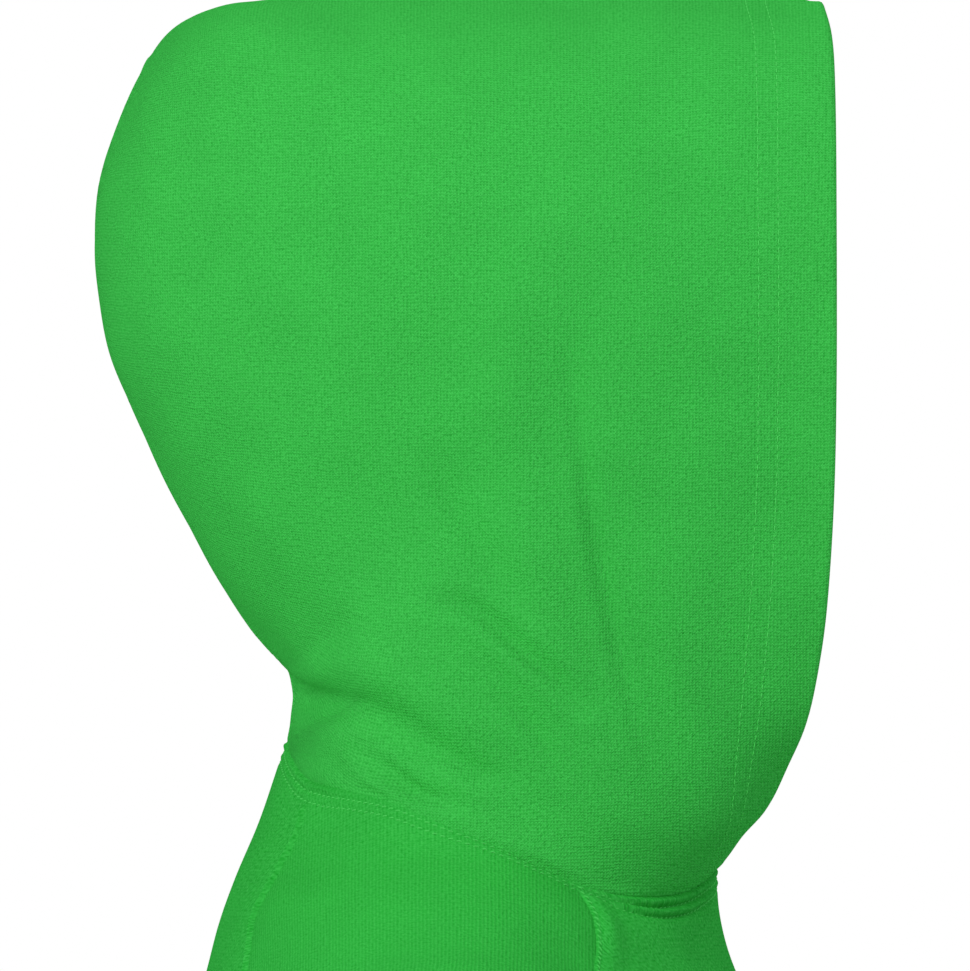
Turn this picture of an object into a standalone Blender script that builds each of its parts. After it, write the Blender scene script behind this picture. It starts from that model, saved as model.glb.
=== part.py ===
"""Pullover hoodie with raglan sleeves, worn with the hood up and filled out, and hollow.

Metres, +Z up. The wearer faces -Y, so the wearer's right side is at -X. The origin is in the middle of the
neck opening, level with the neck seam at the sides. Every piece of cloth is a closed wall of its own, and
pieces meet at their seams with a gap of 0.3 mm.
"""

import functools
import math

import bpy
import numpy as np

MM = 0.001

# --- Cloth -----------------------------------------------------------------------------------------------
CLOTH = 2.0 * MM
HOOD_HEM_CLOTH = 3.4 * MM
HOOD_HEM_WIDTH = 23.4 * MM
HOOD_HEM_STEP = 8.0 * MM
SEAM_GAP = 0.3 * MM

# --- Counts of cells in each piece -----------------------------------------------------------------------
BACK_CELLS = 9
SLEEVE_CELLS = 16
FRONT_CELLS = 9
HOOD_ROWS = 20
YOKE_ROWS = 11
TRUNK_ROWS = 11
ARM_ROWS = 13

# --- How finely curves are worked out ---------------------------------------------------------------------
DENSE = 48
CURVE_STEPS = 400
SPAN_STEPS = 24
SETTLE_STEPS = 8
HALVINGS = 24
SLOPE_STEP = 0.2 * MM
LONGEST_MOVE = 12.0 * MM
LEAST_SLOPE = 0.25
LEAST_SIZE = 0.05
TINY = 1e-9
SAME_POINT = 0.02 * MM

# --- Neck seam, from centre back round the right side to centre front (mm) --------------------------------
#        x      y      z
NECK_SEAM = (
    (0.0, 69.0, 31.5),
    (-22.0, 67.5, 26.5),
    (-42.0, 62.0, 19.8),
    (-64.0, 49.0, 16.3),
    (-78.0, 35.5, 12.5),
    (-87.0, 20.0, 6.0),
    (-90.0, 5.0, 0.0),
    (-88.5, -10.0, -7.4),
    (-82.0, -27.0, -14.6),
    (-66.0, -45.0, -21.5),
    (-45.0, -58.0, -20.0),
    (-22.0, -66.0, -14.5),
    (0.0, -68.5, -11.5),
)
# Where the raglan seams meet it, as shares of its length.
BACK_RAGLAN_AT = 0.175
FRONT_RAGLAN_AT = 0.605

# --- Hood, seen from the side (mm) ------------------------------------------------------------------------
#        y      z     centre seam, from the back of the neck up and over to the front edge
HOOD_SEAM = (
    (69.0, 31.5),
    (68.5, 46.0),
    (72.3, 57.6),
    (80.6, 67.5),
    (93.5, 86.0),
    (108.5, 115.2),
    (119.0, 137.0),
    (126.3, 156.0),
    (130.0, 175.0),
    (131.3, 192.0),
    (130.0, 210.0),
    (124.5, 228.0),
    (116.5, 245.8),
    (107.0, 258.5),
    (96.0, 265.5),
    (80.0, 268.8),
    (50.0, 271.2),
    (10.0, 272.0),
    (-40.0, 271.4),
    (-85.0, 270.0),
    (-100.5, 268.0),
)
HOOD_CORNER_AT = 0.52
#        y      z     front edge, from the front of the neck up to the centre seam
HOOD_FRONT = (
    (-68.5, -11.5),
    (-75.0, 0.5),
    (-83.5, 9.8),
    (-90.0, 22.0),
    (-95.5, 39.0),
    (-99.5, 60.0),
    (-101.8, 86.0),
    (-103.2, 115.0),
    (-103.8, 150.0),
    (-103.8, 200.0),
    (-103.6, 240.0),
    (-102.8, 258.0),
    (-100.5, 268.0),
)
HEAD_CENTRE = (-60.0 * MM, 150.0 * MM)
HEAD_TIP_RADIUS = 76.0 * MM
HEAD_POWERS = (2.0, 3.4)
BELOW_NECK = 400.0 * MM
#      height  half width of the hood over the ears
HOOD_WIDTH = (
    (-30.0, 84.0),
    (30.0, 86.0),
    (90.0, 91.0),
    (150.0, 95.0),
    (280.0, 95.0),
)
HOOD_FRONT_NARROWING = 14.0 * MM
HOOD_NARROWS_FROM = -20.0 * MM
HOOD_NARROWS_OVER = 84.0 * MM
NECK_BLEND = 0.32
HOOD_ROW_POWER = 1.25

# --- Trunk: level sections (mm) ---------------------------------------------------------------------------
#   height  half width  front    back   middle  front power  back power
TRUNK = (
    (80.0, 62.0, -44.0, 58.0, 8.0, 2.0, 2.0),
    (45.0, 74.0, -56.0, 66.0, 8.0, 2.0, 2.0),
    (31.5, 78.0, -60.0, 69.0, 8.0, 2.0, 2.0),
    (22.0, 81.0, -62.0, 73.0, 8.0, 2.0, 2.0),
    (10.0, 85.0, -65.0, 77.0, 9.0, 2.0, 2.0),
    (0.0, 92.0, -67.0, 81.0, 10.0, 2.0, 2.0),
    (-11.5, 112.0, -68.5, 85.5, 12.0, 1.9, 2.0),
    (-20.0, 130.0, -69.0, 89.0, 14.0, 1.75, 2.0),
    (-30.0, 150.0, -71.0, 92.0, 16.0, 1.6, 2.0),
    (-42.0, 172.0, -75.0, 94.8, 18.0, 1.55, 2.0),
    (-56.0, 190.0, -80.5, 98.0, 18.0, 1.6, 2.1),
    (-75.0, 198.0, -90.0, 102.0, 16.0, 1.8, 2.2),
    (-105.0, 198.0, -103.0, 106.0, 12.0, 2.1, 2.4),
    (-150.0, 190.0, -116.0, 108.0, 4.0, 2.4, 2.5),
    (-210.0, 182.0, -125.0, 106.0, -4.0, 2.5, 2.5),
    (-280.0, 179.0, -128.0, 101.0, -10.0, 2.5, 2.5),
    (-360.0, 179.0, -125.0, 96.0, -12.0, 2.4, 2.4),
    (-440.0, 182.0, -123.0, 97.0, -12.0, 2.4, 2.4),
    (-510.0, 187.0, -126.0, 103.0, -11.0, 2.4, 2.4),
    (-552.0, 189.0, -129.0, 107.0, -10.0, 2.4, 2.4),
    (-572.0, 184.0, -124.0, 102.0, -10.0, 2.4, 2.4),
    (-584.0, 171.0, -112.0, 91.0, -10.0, 2.4, 2.4),
)
HALF_WIDTH, FRONT, BACK, MIDDLE, FRONT_POWER, BACK_POWER = range(1, 7)
TRUNK_END = -584.0 * MM

# --- Right arm: centre line and radius (mm) ---------------------------------------------------------------
#      x       y       z     radius
ARM = (
    (-160.0, 14.0, -100.0, 60.0),
    (-186.0, 14.0, -132.0, 69.0),
    (-223.0, 15.0, -210.0, 68.0),
    (-261.0, 16.0, -294.0, 65.0),
    (-300.0, 15.0, -379.0, 61.0),
    (-326.0, 7.0, -460.0, 56.0),
    (-350.0, -6.0, -540.0, 52.0),
    (-362.5, -13.5, -583.0, 50.0),
    (-367.0, -16.0, -600.0, 45.0),
    (-369.5, -17.5, -610.0, 37.0),
)
ARM_LINE_POINTS = 30
ARMPIT_BLEND = 18.0 * MM
# Where the underarm point is looked for.
UNDERARM_X = (-260.0 * MM, -165.0 * MM)
UNDERARM_Y = 10.0 * MM
UNDERARM_Z = (-200.0 * MM, -400.0 * MM)

# --- Seams between the neck and the underarm, near the cloth (mm) -----------------------------------------
#        x      y      z
BACK_RAGLAN = (
    (-53.0, 68.5, 6.4),
    (-61.0, 75.0, -8.0),
    (-71.0, 79.5, -24.0),
    (-97.0, 81.0, -44.0),
    (-116.0, 85.0, -90.0),
    (-134.0, 82.0, -145.0),
    (-155.0, 71.0, -200.0),
    (-176.0, 50.0, -248.0),
)
FRONT_RAGLAN = (
    (-106.0, -28.5, -28.0),
    (-127.0, -30.0, -43.0),
    (-141.0, -44.0, -85.0),
    (-149.0, -58.0, -140.0),
    (-160.0, -62.0, -200.0),
    (-180.0, -42.0, -250.0),
)
SHOULDER_LINE = (
    (-130.0, 13.0, -20.0),
    (-175.0, 15.0, -44.0),
    (-216.0, 15.0, -74.0),
    (-248.0, 15.0, -118.0),
    (-280.0, 15.0, -175.0),
)
# The share of a raglan seam over which the cloth goes from the neck seam onto the body form.
NECK_FADE = 0.32
# How late in its row a front or back row turns towards its seam.
END_PULL = 6

# --- Rib pieces ------------------------------------------------------------------------------------------
RIB_CLOTH = 3.0 * MM
RIB_RELIEF = 0.9 * MM
WAIST_HEIGHT = 66.0 * MM
WAIST_RIBS = 180
#   share of the height from the top  share of the trunk's end by which it is drawn in
WAIST_SHAPE = (
    (0.0, 0.004),
    (0.5, -0.002),
    (1.0, 0.03),
)
CUFF_LENGTH = 66.0 * MM
CUFF_RIBS = 40
CUFF_END_RADIUS = 33.0 * MM
CUFF_SHARES = (0.0, 0.5, 1.0)

# --- Largest folds: troughs in the hood, seen from the side (mm) -------------------------------------------
#   depth  half width  points (y, z) along the trough
HOOD_FOLDS_RIGHT = (
    (7.0, 12.0, ((-22.0, 178.0), (-22.0, 148.0), (-23.0, 128.0), (-28.0, 100.0), (-33.0, 78.0),
                 (-39.0, 50.0), (-45.0, 30.0))),
    (3.5, 8.0, ((20.0, 118.0), (8.0, 96.0), (-4.0, 78.0))),
    (4.0, 8.0, ((21.0, 76.0), (8.0, 72.0), (-4.0, 66.0), (-15.0, 54.0), (-25.0, 44.0))),
    (6.0, 11.0, ((64.0, 48.0), (48.0, 53.0), (33.0, 44.0), (22.0, 32.0), (4.0, 24.0))),
)
# How far inside its sine curve a trough's depth starts and ends.
FOLD_END = 0.1
HOOD_FOLDS_LEFT = (
    (6.0, 12.0, ((-16.0, 186.0), (-18.0, 150.0), (-24.0, 118.0), (-31.0, 84.0), (-40.0, 48.0))),
    (4.0, 8.0, ((30.0, 104.0), (14.0, 84.0), (-2.0, 70.0), (-18.0, 50.0))),
    (6.0, 11.0, ((64.0, 52.0), (46.0, 50.0), (28.0, 40.0), (8.0, 26.0))),
)

# --- Colours ---------------------------------------------------------------------------------------------
GREEN = (0.045, 0.455, 0.068, 1.0)
RIB_GREEN = (0.038, 0.400, 0.058, 1.0)
CLOTH_ROUGHNESS = 0.9


# --- Curves and tables -----------------------------------------------------------------------------------
def evenly(points, count):
    """Count points, evenly spaced along the line through the given ones."""
    steps = np.linalg.norm(np.diff(points, axis=0), axis=1)
    along = np.concatenate(([0.0], np.cumsum(steps)))
    wanted = np.linspace(0.0, along[-1], count)
    return np.stack([np.interp(wanted, along, column) for column in points.T], axis=1)


def smooth_line(points, count):
    """Count points, evenly spaced along a smooth curve through the given ones."""
    points = np.asarray(points, dtype=float)
    before = 2 * points[0] - points[1]
    after = 2 * points[-1] - points[-2]
    knots = np.vstack((before, points, after))
    spans = []
    for p0, p1, p2, p3 in zip(knots, knots[1:], knots[2:], knots[3:]):
        t = np.linspace(0.0, 1.0, SPAN_STEPS, endpoint=False)[:, None]
        spans.append(
            0.5 * (2 * p1 + (p2 - p0) * t + (2 * p0 - 5 * p1 + 4 * p2 - p3) * t**2
                   + (3 * p1 - p0 - 3 * p2 + p3) * t**3)
        )
    return evenly(np.vstack(spans + [points[-1:]]), count)


@functools.cache
def table_tangents(table, column):
    """A column of a table of millimetres, in metres, with the slopes that keep it from overshooting."""
    rows = np.array(sorted(table)) * MM
    xs = rows[:, 0]
    ys = rows[:, column]
    width = np.diff(xs)
    slope = np.diff(ys) / width
    tangent = np.zeros(len(xs))
    same = slope[:-1] * slope[1:] > 0
    both = slope[:-1] + slope[1:]
    tangent[1:-1][same] = 2 * slope[:-1][same] * slope[1:][same] / both[same]
    return xs, ys, width, tangent


def read_table(table, column, x):
    """A column of a table at x, its first column, smooth between the rows."""
    xs, ys, width, tangent = table_tangents(table, column)
    i = np.clip(np.searchsorted(xs, x) - 1, 0, len(xs) - 2)
    t = np.clip((x - xs[i]) / width[i], 0.0, 1.0)
    h = width[i]
    return (
        ys[i] * (2 * t**3 - 3 * t**2 + 1) + tangent[i] * h * (t**3 - 2 * t**2 + t)
        + ys[i + 1] * (3 * t**2 - 2 * t**3) + tangent[i + 1] * h * (t**3 - t**2)
    )


def unit(vectors):
    """The vectors at length 1."""
    return vectors / np.maximum(np.linalg.norm(vectors, axis=-1, keepdims=True), TINY)


def mirrored(points):
    """The points on the other side of the garment."""
    return points * np.array([-1.0, 1.0, 1.0])


def smoothstep(value):
    """0 below 0, 1 above 1 and a soft rise between."""
    value = np.clip(value, 0.0, 1.0)
    return value * value * (3 - 2 * value)


# --- The body form that the trunk and the sleeves lie on ---------------------------------------------------
ARM_LINE = smooth_line(np.array(ARM) * MM, ARM_LINE_POINTS)
CUFF_START = np.array(ARM[-1][:3]) * MM
CUFF_AXIS = unit(CUFF_START - np.array(ARM[-3][:3]) * MM)
CUFF_START_RADIUS = ARM[-1][3] * MM


def gradient(distance, p):
    """The slope of a distance function at each point."""
    parts = []
    for axis in range(3):
        shift = np.zeros(3)
        shift[axis] = SLOPE_STEP
        parts.append((distance(p + shift) - distance(p - shift)) / (2 * SLOPE_STEP))
    return np.stack(parts, axis=-1)


def trunk_reach(p):
    """How far each point lies outside the trunk's section at its own height."""
    z = p[..., 2]
    half_width = read_table(TRUNK, HALF_WIDTH, z)
    middle = read_table(TRUNK, MIDDLE, z)
    y = p[..., 1] - middle
    behind = y > 0
    depth = np.where(behind, read_table(TRUNK, BACK, z) - middle, middle - read_table(TRUNK, FRONT, z))
    power = np.where(behind, read_table(TRUNK, BACK_POWER, z), read_table(TRUNK, FRONT_POWER, z)) / MM
    size = ((np.abs(p[..., 0]) / half_width) ** power + (np.abs(y) / depth) ** power) ** (1 / power)
    size = np.maximum(size, LEAST_SIZE)
    return np.hypot(p[..., 0], y) * (1 - 1 / size)


def trunk_distance(p):
    """Distance from the trunk's form."""
    slope = np.linalg.norm(gradient(trunk_reach, p), axis=-1)
    return trunk_reach(p) / np.maximum(slope, LEAST_SLOPE)


def arm_distance(p):
    """Distance from the form of the arm on the point's own side."""
    p = np.stack((-np.abs(p[..., 0]), p[..., 1], p[..., 2]), axis=-1)
    best = np.full(p.shape[:-1], np.inf)
    for a, b in zip(ARM_LINE, ARM_LINE[1:]):
        run = b[:3] - a[:3]
        t = np.clip((p - a[:3]) @ run / (run @ run), 0.0, 1.0)
        gap = np.linalg.norm(p - a[:3] - t[..., None] * run, axis=-1) - (a[3] + t * (b[3] - a[3]))
        best = np.minimum(best, gap)
    return best


def form_distance(p):
    """Distance from the trunk and arms, joined with a soft hollow at each armpit."""
    trunk = trunk_distance(p)
    arm = arm_distance(p)
    share = np.clip(0.5 + 0.5 * (arm - trunk) / ARMPIT_BLEND, 0.0, 1.0)
    return arm * (1 - share) + trunk * share - ARMPIT_BLEND * share * (1 - share)


def settle(p):
    """The points, moved onto the form by the shortest way."""
    for _ in range(SETTLE_STEPS):
        slope = gradient(form_distance, p)
        length = np.maximum(np.sum(slope * slope, axis=-1), LEAST_SLOPE**2)
        move = slope * (form_distance(p) / length)[..., None]
        size = np.linalg.norm(move, axis=-1, keepdims=True)
        p = p - move * np.minimum(1.0, LONGEST_MOVE / np.maximum(size, TINY))
    return p


def underarm_point():
    """The lowest point where the right sleeve and the trunk meet."""
    x = np.linspace(*UNDERARM_X, 2 * DENSE)
    high, low = UNDERARM_Z
    for _ in range(HALVINGS):
        z = 0.5 * (high + low)
        line = np.stack((x, np.full_like(x, UNDERARM_Y), np.full_like(x, z)), axis=-1)
        if form_distance(line).max() < 0:
            high = z
        else:
            low = z
    return line[np.argmax(form_distance(line))]


# --- Grids of the right half ------------------------------------------------------------------------------
def neck_rows():
    """The neck seam's points at the back, sleeve and front, from centre back to centre front."""
    line = smooth_line(np.array(NECK_SEAM) * MM, CURVE_STEPS + 1)
    back_end = round(CURVE_STEPS * BACK_RAGLAN_AT)
    front_start = round(CURVE_STEPS * FRONT_RAGLAN_AT)
    return (
        evenly(line[: back_end + 1], BACK_CELLS + 1),
        evenly(line[back_end : front_start + 1], SLEEVE_CELLS + 1),
        evenly(line[front_start:], FRONT_CELLS + 1),
    )


def seam_to_underarm(start, table, underarm):
    """A seam from the neck to the underarm, on the form below the neck."""
    points = np.vstack((start[None], np.array(table) * MM, underarm[None]))
    line = smooth_line(points, 4 * YOKE_ROWS + 1)
    settled = settle(line)
    settled[-1] = underarm
    fade = seam_fade(np.linspace(0.0, 1.0, len(line)))[:, None]
    return evenly(settled + (line[0] - settled[0]) * fade, YOKE_ROWS + 1)


def seam_fade(t):
    """1 at the neck seam, falling softly to 0 below it."""
    return np.clip(1 - t / NECK_FADE, 0.0, 1.0) ** 2


def section_y(x, z, side):
    """Where the trunk's level section is at x, in front (side -1) or behind (side 1)."""
    half_width = read_table(TRUNK, HALF_WIDTH, z)
    middle = read_table(TRUNK, MIDDLE, z)
    far = read_table(TRUNK, BACK if side > 0 else FRONT, z) - middle
    power = read_table(TRUNK, BACK_POWER if side > 0 else FRONT_POWER, z) / MM
    share = np.minimum(np.abs(x) / half_width, 1.0)
    return middle + far * (1 - share**power) ** (1 / power)


def rows_across(centre_z, ends, side, cells):
    """Rows of the front or back, each from its centre line to its own point of a seam."""
    turn = np.sin(np.linspace(0.0, math.pi / 2, DENSE))[None, :]
    x = ends[:, :1] * turn
    z = centre_z[:, None] + (ends[:, 2:] - centre_z[:, None]) * turn
    y = section_y(x, z, side)
    y = y + (ends[:, 1:2] - y[:, -1:]) * turn**END_PULL
    lines = settle(np.stack((x, y, z), axis=-1))
    lines[:, -1] = ends
    return np.array([evenly(line, cells + 1) for line in lines])


def arc_through(start, top, end, cells):
    """A circular arc of cells from start over top to end."""
    u, v = top - start, end - start
    normal = np.cross(u, v)
    centre = start + (np.dot(v, v) * np.cross(normal, u) + np.dot(u, u) * np.cross(v, normal)) / (
        2 * np.dot(normal, normal)
    )
    e1 = unit(start - centre)
    e2 = unit(np.cross(normal, e1))
    radius = np.linalg.norm(start - centre)
    reach = math.atan2(np.dot(end - centre, e2), np.dot(end - centre, e1)) % (2 * math.pi)
    angle = np.linspace(0.0, reach, cells + 1)[:, None]
    return centre + radius * (np.cos(angle) * e1 + np.sin(angle) * e2)


def ring_round(centre, axis, radius, cells):
    """A ring across the arm that starts and ends at its inner side, going round by the back."""
    inward = unit(np.array([1.0, 0.0, 0.0]) - axis * axis[0])
    backward = unit(np.cross(axis, inward))
    if backward[1] < 0:
        backward = -backward
    angle = np.linspace(0.0, 2 * math.pi, cells + 1)[:, None]
    return centre + radius * (np.cos(angle) * inward + np.sin(angle) * backward)


def arm_frames(underarm):
    """Centres, directions and radii of the rings from the underarm to the cuff."""
    line = smooth_line(np.array(ARM) * MM, CURVE_STEPS + 1)
    axis = unit(np.gradient(line[:, :3], axis=0))
    level = np.sum((line[:, :3] - underarm) * axis, axis=1)
    first = int(np.argmin(np.abs(level)))
    spaced = evenly(line[first:], ARM_ROWS + 1)
    axes = unit(np.gradient(spaced[:, :3], axis=0))
    axes[-1] = CUFF_AXIS
    return spaced[:, :3], axes, spaced[:, 3]


def body_grids():
    """Points of the right half: back, front and sleeve, each row from the neck down."""
    underarm = underarm_point()
    neck_back, neck_sleeve, neck_front = neck_rows()
    back_seam = seam_to_underarm(neck_sleeve[0], BACK_RAGLAN, underarm)
    front_seam = seam_to_underarm(neck_sleeve[-1], FRONT_RAGLAN, underarm)
    centres, axes, radii = arm_frames(underarm)
    rings = [ring_round(*frame, SLEEVE_CELLS) for frame in zip(centres, axes, radii)]
    middle = SLEEVE_CELLS // 2
    top_points = (neck_sleeve[middle], *(np.array(SHOULDER_LINE) * MM), rings[0][middle])
    top = smooth_line(top_points, YOKE_ROWS + 1)

    fades = seam_fade(np.linspace(0.0, 1.0, YOKE_ROWS + 1))
    levels = np.linspace(0.0, 1.0, YOKE_ROWS + 1)
    back = yoke_rows(neck_back, back_seam, 1, levels, fades)
    front = yoke_rows(neck_front[::-1], front_seam, -1, levels, fades)
    trunk_levels = np.linspace(underarm[2], TRUNK_END, TRUNK_ROWS + 1)[1:]
    back = np.concatenate((back, trunk_rows(trunk_levels, 1)))
    front = np.concatenate((front, trunk_rows(trunk_levels, -1)))

    arcs = [arc_through(back_seam[i], top[i], front_seam[i], SLEEVE_CELLS) for i in range(YOKE_ROWS)]
    sleeve = settle(np.array(arcs))
    sleeve = sleeve + (neck_sleeve - sleeve[0])[None] * fades[:YOKE_ROWS, None, None]
    sleeve[:, 0] = back_seam[:YOKE_ROWS]
    sleeve[:, -1] = front_seam[:YOKE_ROWS]
    tube = settle(np.array(rings))
    tube[0, 0] = underarm
    tube[0, -1] = underarm
    tube[-1] = rings[-1]
    return back, front[:, ::-1], np.concatenate((sleeve, tube))


def yoke_rows(neck, seam, side, levels, fades):
    """Rows of the front or back above the underarm."""
    centre_z = neck[0, 2] + (seam[-1, 2] - neck[0, 2]) * levels
    rows = rows_across(centre_z, seam, side, len(neck) - 1)
    return rows + (neck - rows[0])[None] * fades[:, None, None]


def trunk_rows(levels, side):
    """Rows of the front or back below the underarm, from the centre line to the side seam."""
    cells = BACK_CELLS if side > 0 else FRONT_CELLS
    turn = np.linspace(0.0, math.pi / 2, DENSE)[None, :]
    z = levels[:, None] + 0.0 * turn
    x = -read_table(TRUNK, HALF_WIDTH, z) * np.sin(turn)
    lines = settle(np.stack((x, section_y(x, z, side), z), axis=-1))
    lines[..., 2] = z
    return np.array([evenly(line, cells + 1) for line in lines])


# --- Hood -------------------------------------------------------------------------------------------------
def hood_half_width(y, z):
    """Half width of the head form under the hood at a place seen from the side."""
    seam = smooth_line(np.array(HOOD_SEAM) * MM, CURVE_STEPS)
    straight_down = seam[0] - np.array([0.0, BELOW_NECK])
    seam = np.vstack((straight_down, seam))
    ahead, up = HEAD_CENTRE
    seam_turn = np.arctan2(seam[:, 0] - ahead, seam[:, 1] - up)
    order = np.argsort(seam_turn)
    y_back = np.maximum(y, ahead)
    turn = np.arctan2(y_back - ahead, z - up)
    reach = np.interp(turn, seam_turn[order], np.hypot(seam[:, 0] - ahead, seam[:, 1] - up)[order])
    share = np.clip(np.hypot(y_back - ahead, z - up) / reach, 0.0, 1.0)
    width = read_table(HOOD_WIDTH, 1, z)
    width = width - HOOD_FRONT_NARROWING * smoothstep((HOOD_NARROWS_FROM - y) / HOOD_NARROWS_OVER)
    power = np.clip(2 * reach * HEAD_TIP_RADIUS / width**2, *HEAD_POWERS)
    return width * np.sqrt(1 - share**power)


def hood_grid():
    """Points of the right hood half: rows from the neck to the top, from the front edge to the back."""
    neck_back, neck_sleeve, neck_front = neck_rows()
    neck = np.concatenate((neck_back, neck_sleeve[1:], neck_front[1:]))[::-1]
    steps = np.linalg.norm(np.diff(neck, axis=0), axis=1)
    along = np.concatenate(([0.0], np.cumsum(steps))) / steps.sum()
    seam = smooth_line(np.array(HOOD_SEAM) * MM, CURVE_STEPS + 1)
    corner = round(CURVE_STEPS * HOOD_CORNER_AT)
    back = evenly(seam[: corner + 1], HOOD_ROWS + 1)
    top_line = seam[corner:][::-1]
    top_at = np.linspace(0.0, 1.0, len(top_line))
    top = np.stack([np.interp(along, top_at, column) for column in top_line.T], axis=1)
    up = np.sin(np.linspace(0.0, 1.0, HOOD_ROWS + 1) ** HOOD_ROW_POWER * math.pi / 2)
    front_line = smooth_line(np.array(HOOD_FRONT) * MM, CURVE_STEPS + 1)
    front_at = np.linspace(0.0, 1.0, CURVE_STEPS + 1)
    front = np.stack([np.interp(up, front_at, column) for column in front_line.T], axis=1)

    a = np.sin(along * math.pi / 2)[None, :, None]
    b = up[:, None, None]
    side = (
        (1 - b) * neck[None, :, 1:] + b * top[None] + (1 - a) * front[:, None] + a * back[:, None]
        - (1 - a) * (1 - b) * neck[0, 1:] - a * (1 - b) * neck[-1, 1:]
        - (1 - a) * b * top[0] - a * b * top[-1]
    )
    y, z = side[..., 0], side[..., 1]
    rise = 1 - (1 - np.minimum(b[..., 0] / NECK_BLEND, 1.0)) ** 2
    x = -(hood_half_width(y, z) * rise + np.abs(neck[None, :, 0]) * (1 - rise))
    x[-1] = 0.0
    x[:, -1] = 0.0
    return np.stack((x, y, z), axis=-1)


def fold_depth(y, z, folds):
    """Depth of the troughs at places seen from the side."""
    total = np.zeros_like(y)
    for depth, half_width, points in folds:
        line = smooth_line(np.array(points) * MM, DENSE)
        gap = np.hypot(y[..., None] - line[:, 0], z[..., None] - line[:, 1])
        nearest = np.argmin(gap, axis=-1) / (len(line) - 1)
        taper = np.sin(np.pi * (FOLD_END + (1 - 2 * FOLD_END) * nearest))
        total += depth * MM * taper * np.exp(-((gap.min(axis=-1) / (half_width * MM)) ** 2))
    return total


def hood_thickness(points):
    """Thickness of the hood's cloth, doubled where its front edge is turned in as a hem."""
    edge = smooth_line(np.array(HOOD_FRONT) * MM, CURVE_STEPS)
    gap = np.hypot(points[:, 1, None] - edge[:, 0], points[:, 2, None] - edge[:, 1]).min(axis=1)
    plain = smoothstep(0.5 + (gap - HOOD_HEM_WIDTH) / HOOD_HEM_STEP)
    return HOOD_HEM_CLOTH + (CLOTH - HOOD_HEM_CLOTH) * plain


def plain_thickness(points):
    """Thickness of single cloth."""
    return np.full(len(points), CLOTH)


# --- One welded sheet for the whole garment -----------------------------------------------------------------
class Sheet:
    """Points and faces of the garment's outer surface, with each face's piece."""

    def __init__(self):
        self.points = []
        self.found = {}
        self.faces = []
        self.pieces = []

    def point(self, p):
        """The number of a point, shared with any piece that has it already."""
        key = tuple(np.round(p / SAME_POINT).astype(int))
        if key not in self.found:
            self.found[key] = len(self.points)
            self.points.append(np.array(p, dtype=float))
        return self.found[key]

    def grid(self, piece, points, flip):
        """Add a grid of points as a piece's faces."""
        numbers = np.array([[self.point(p) for p in row] for row in points])
        for i in range(len(numbers) - 1):
            for j in range(numbers.shape[1] - 1):
                face = [numbers[i, j], numbers[i, j + 1], numbers[i + 1, j + 1], numbers[i + 1, j]]
                if flip:
                    face.reverse()
                face = [n for k, n in enumerate(face) if n != face[k - 1]]
                self.faces.append(face)
                self.pieces.append(piece)

    def numbers_of(self, piece):
        """The numbers of a piece's points."""
        return {n for face, name in zip(self.faces, self.pieces) if name == piece for n in face}

    def normals(self):
        """Soft normals of all points, the same for each piece that meets at one."""
        p = np.array(self.points)
        total = np.zeros_like(p)
        for face in self.faces:
            corners = p[face]
            area = np.zeros(3)
            for k in range(1, len(face) - 1):
                area += np.cross(corners[k] - corners[0], corners[k + 1] - corners[0])
            total[face] += area
        return unit(total)


def piece_wall(sheet, piece, normals, thickness):
    """A closed wall of one piece: its outer face, its inner face and the rims between them."""
    faces = [f for f, name in zip(sheet.faces, sheet.pieces) if name == piece]
    used = sorted({n for face in faces for n in face})
    local = {n: i for i, n in enumerate(used)}
    outer = np.array([sheet.points[n] for n in used])
    normal = normals[used]
    faces = [[local[n] for n in face] for face in faces]
    edges = {}
    for face in faces:
        for a, b in zip(face, face[1:] + face[:1]):
            edges[(a, b)] = True
    rim = [(a, b) for a, b in edges if (b, a) not in edges]
    pull = np.zeros_like(outer)
    for a, b in rim:
        inward = np.cross(normal[a] + normal[b], outer[b] - outer[a])
        pull[a] += unit(inward)
        pull[b] += unit(inward)
    pull = unit(pull) * (np.linalg.norm(pull, axis=1, keepdims=True) > 0.5) * SEAM_GAP / 2
    outer = outer + pull
    inner = outer - normal * thickness(outer)[:, None]
    count = len(outer)
    walls = list(faces)
    walls += [[n + count for n in reversed(face)] for face in faces]
    walls += [[b, a, a + count, b + count] for a, b in rim]
    return np.vstack((outer, inner)), walls


# --- Rib pieces ---------------------------------------------------------------------------------------------
def rib_band(rings, centres, ribs):
    """A closed band of ribs: outer rings with raised ribs and plain inner rings at both ends."""
    columns = 2 * ribs
    relief = np.where(np.arange(columns) % 2 == 0, RIB_RELIEF, 0.0)[:, None]
    outer = []
    for ring, centre in zip(rings, centres):
        outward = unit(ring - centre)
        outer.append(ring + outward * relief)
    inner = []
    for k in (len(rings) - 1, 0):
        outward = unit(rings[k] - centres[k])
        inner.append(rings[k] - outward * RIB_CLOTH)
    loops = outer + inner
    points = np.vstack(loops)
    faces = []
    for k in range(len(loops)):
        here = k * columns
        after = (k + 1) % len(loops) * columns
        for i in range(columns):
            j = (i + 1) % columns
            faces.append([here + i, here + j, after + j, after + i])
    return points, faces


def trunk_ring(z, count):
    """A closed level ring of the trunk at z, and its centre."""
    turn = np.linspace(0.0, math.pi / 2, DENSE)
    x = -read_table(TRUNK, HALF_WIDTH, z) * np.sin(turn)
    level = np.full_like(x, z)
    back = np.stack((x, section_y(x, level, 1), level), axis=-1)
    front = np.stack((x, section_y(x, level, -1), level), axis=-1)
    half = np.vstack((back, front[::-1][1:]))
    ring = np.vstack((half, mirrored(half)[::-1][1:]))
    return evenly(ring, count + 1)[:-1], np.array([0.0, read_table(TRUNK, MIDDLE, z), z])


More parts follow.
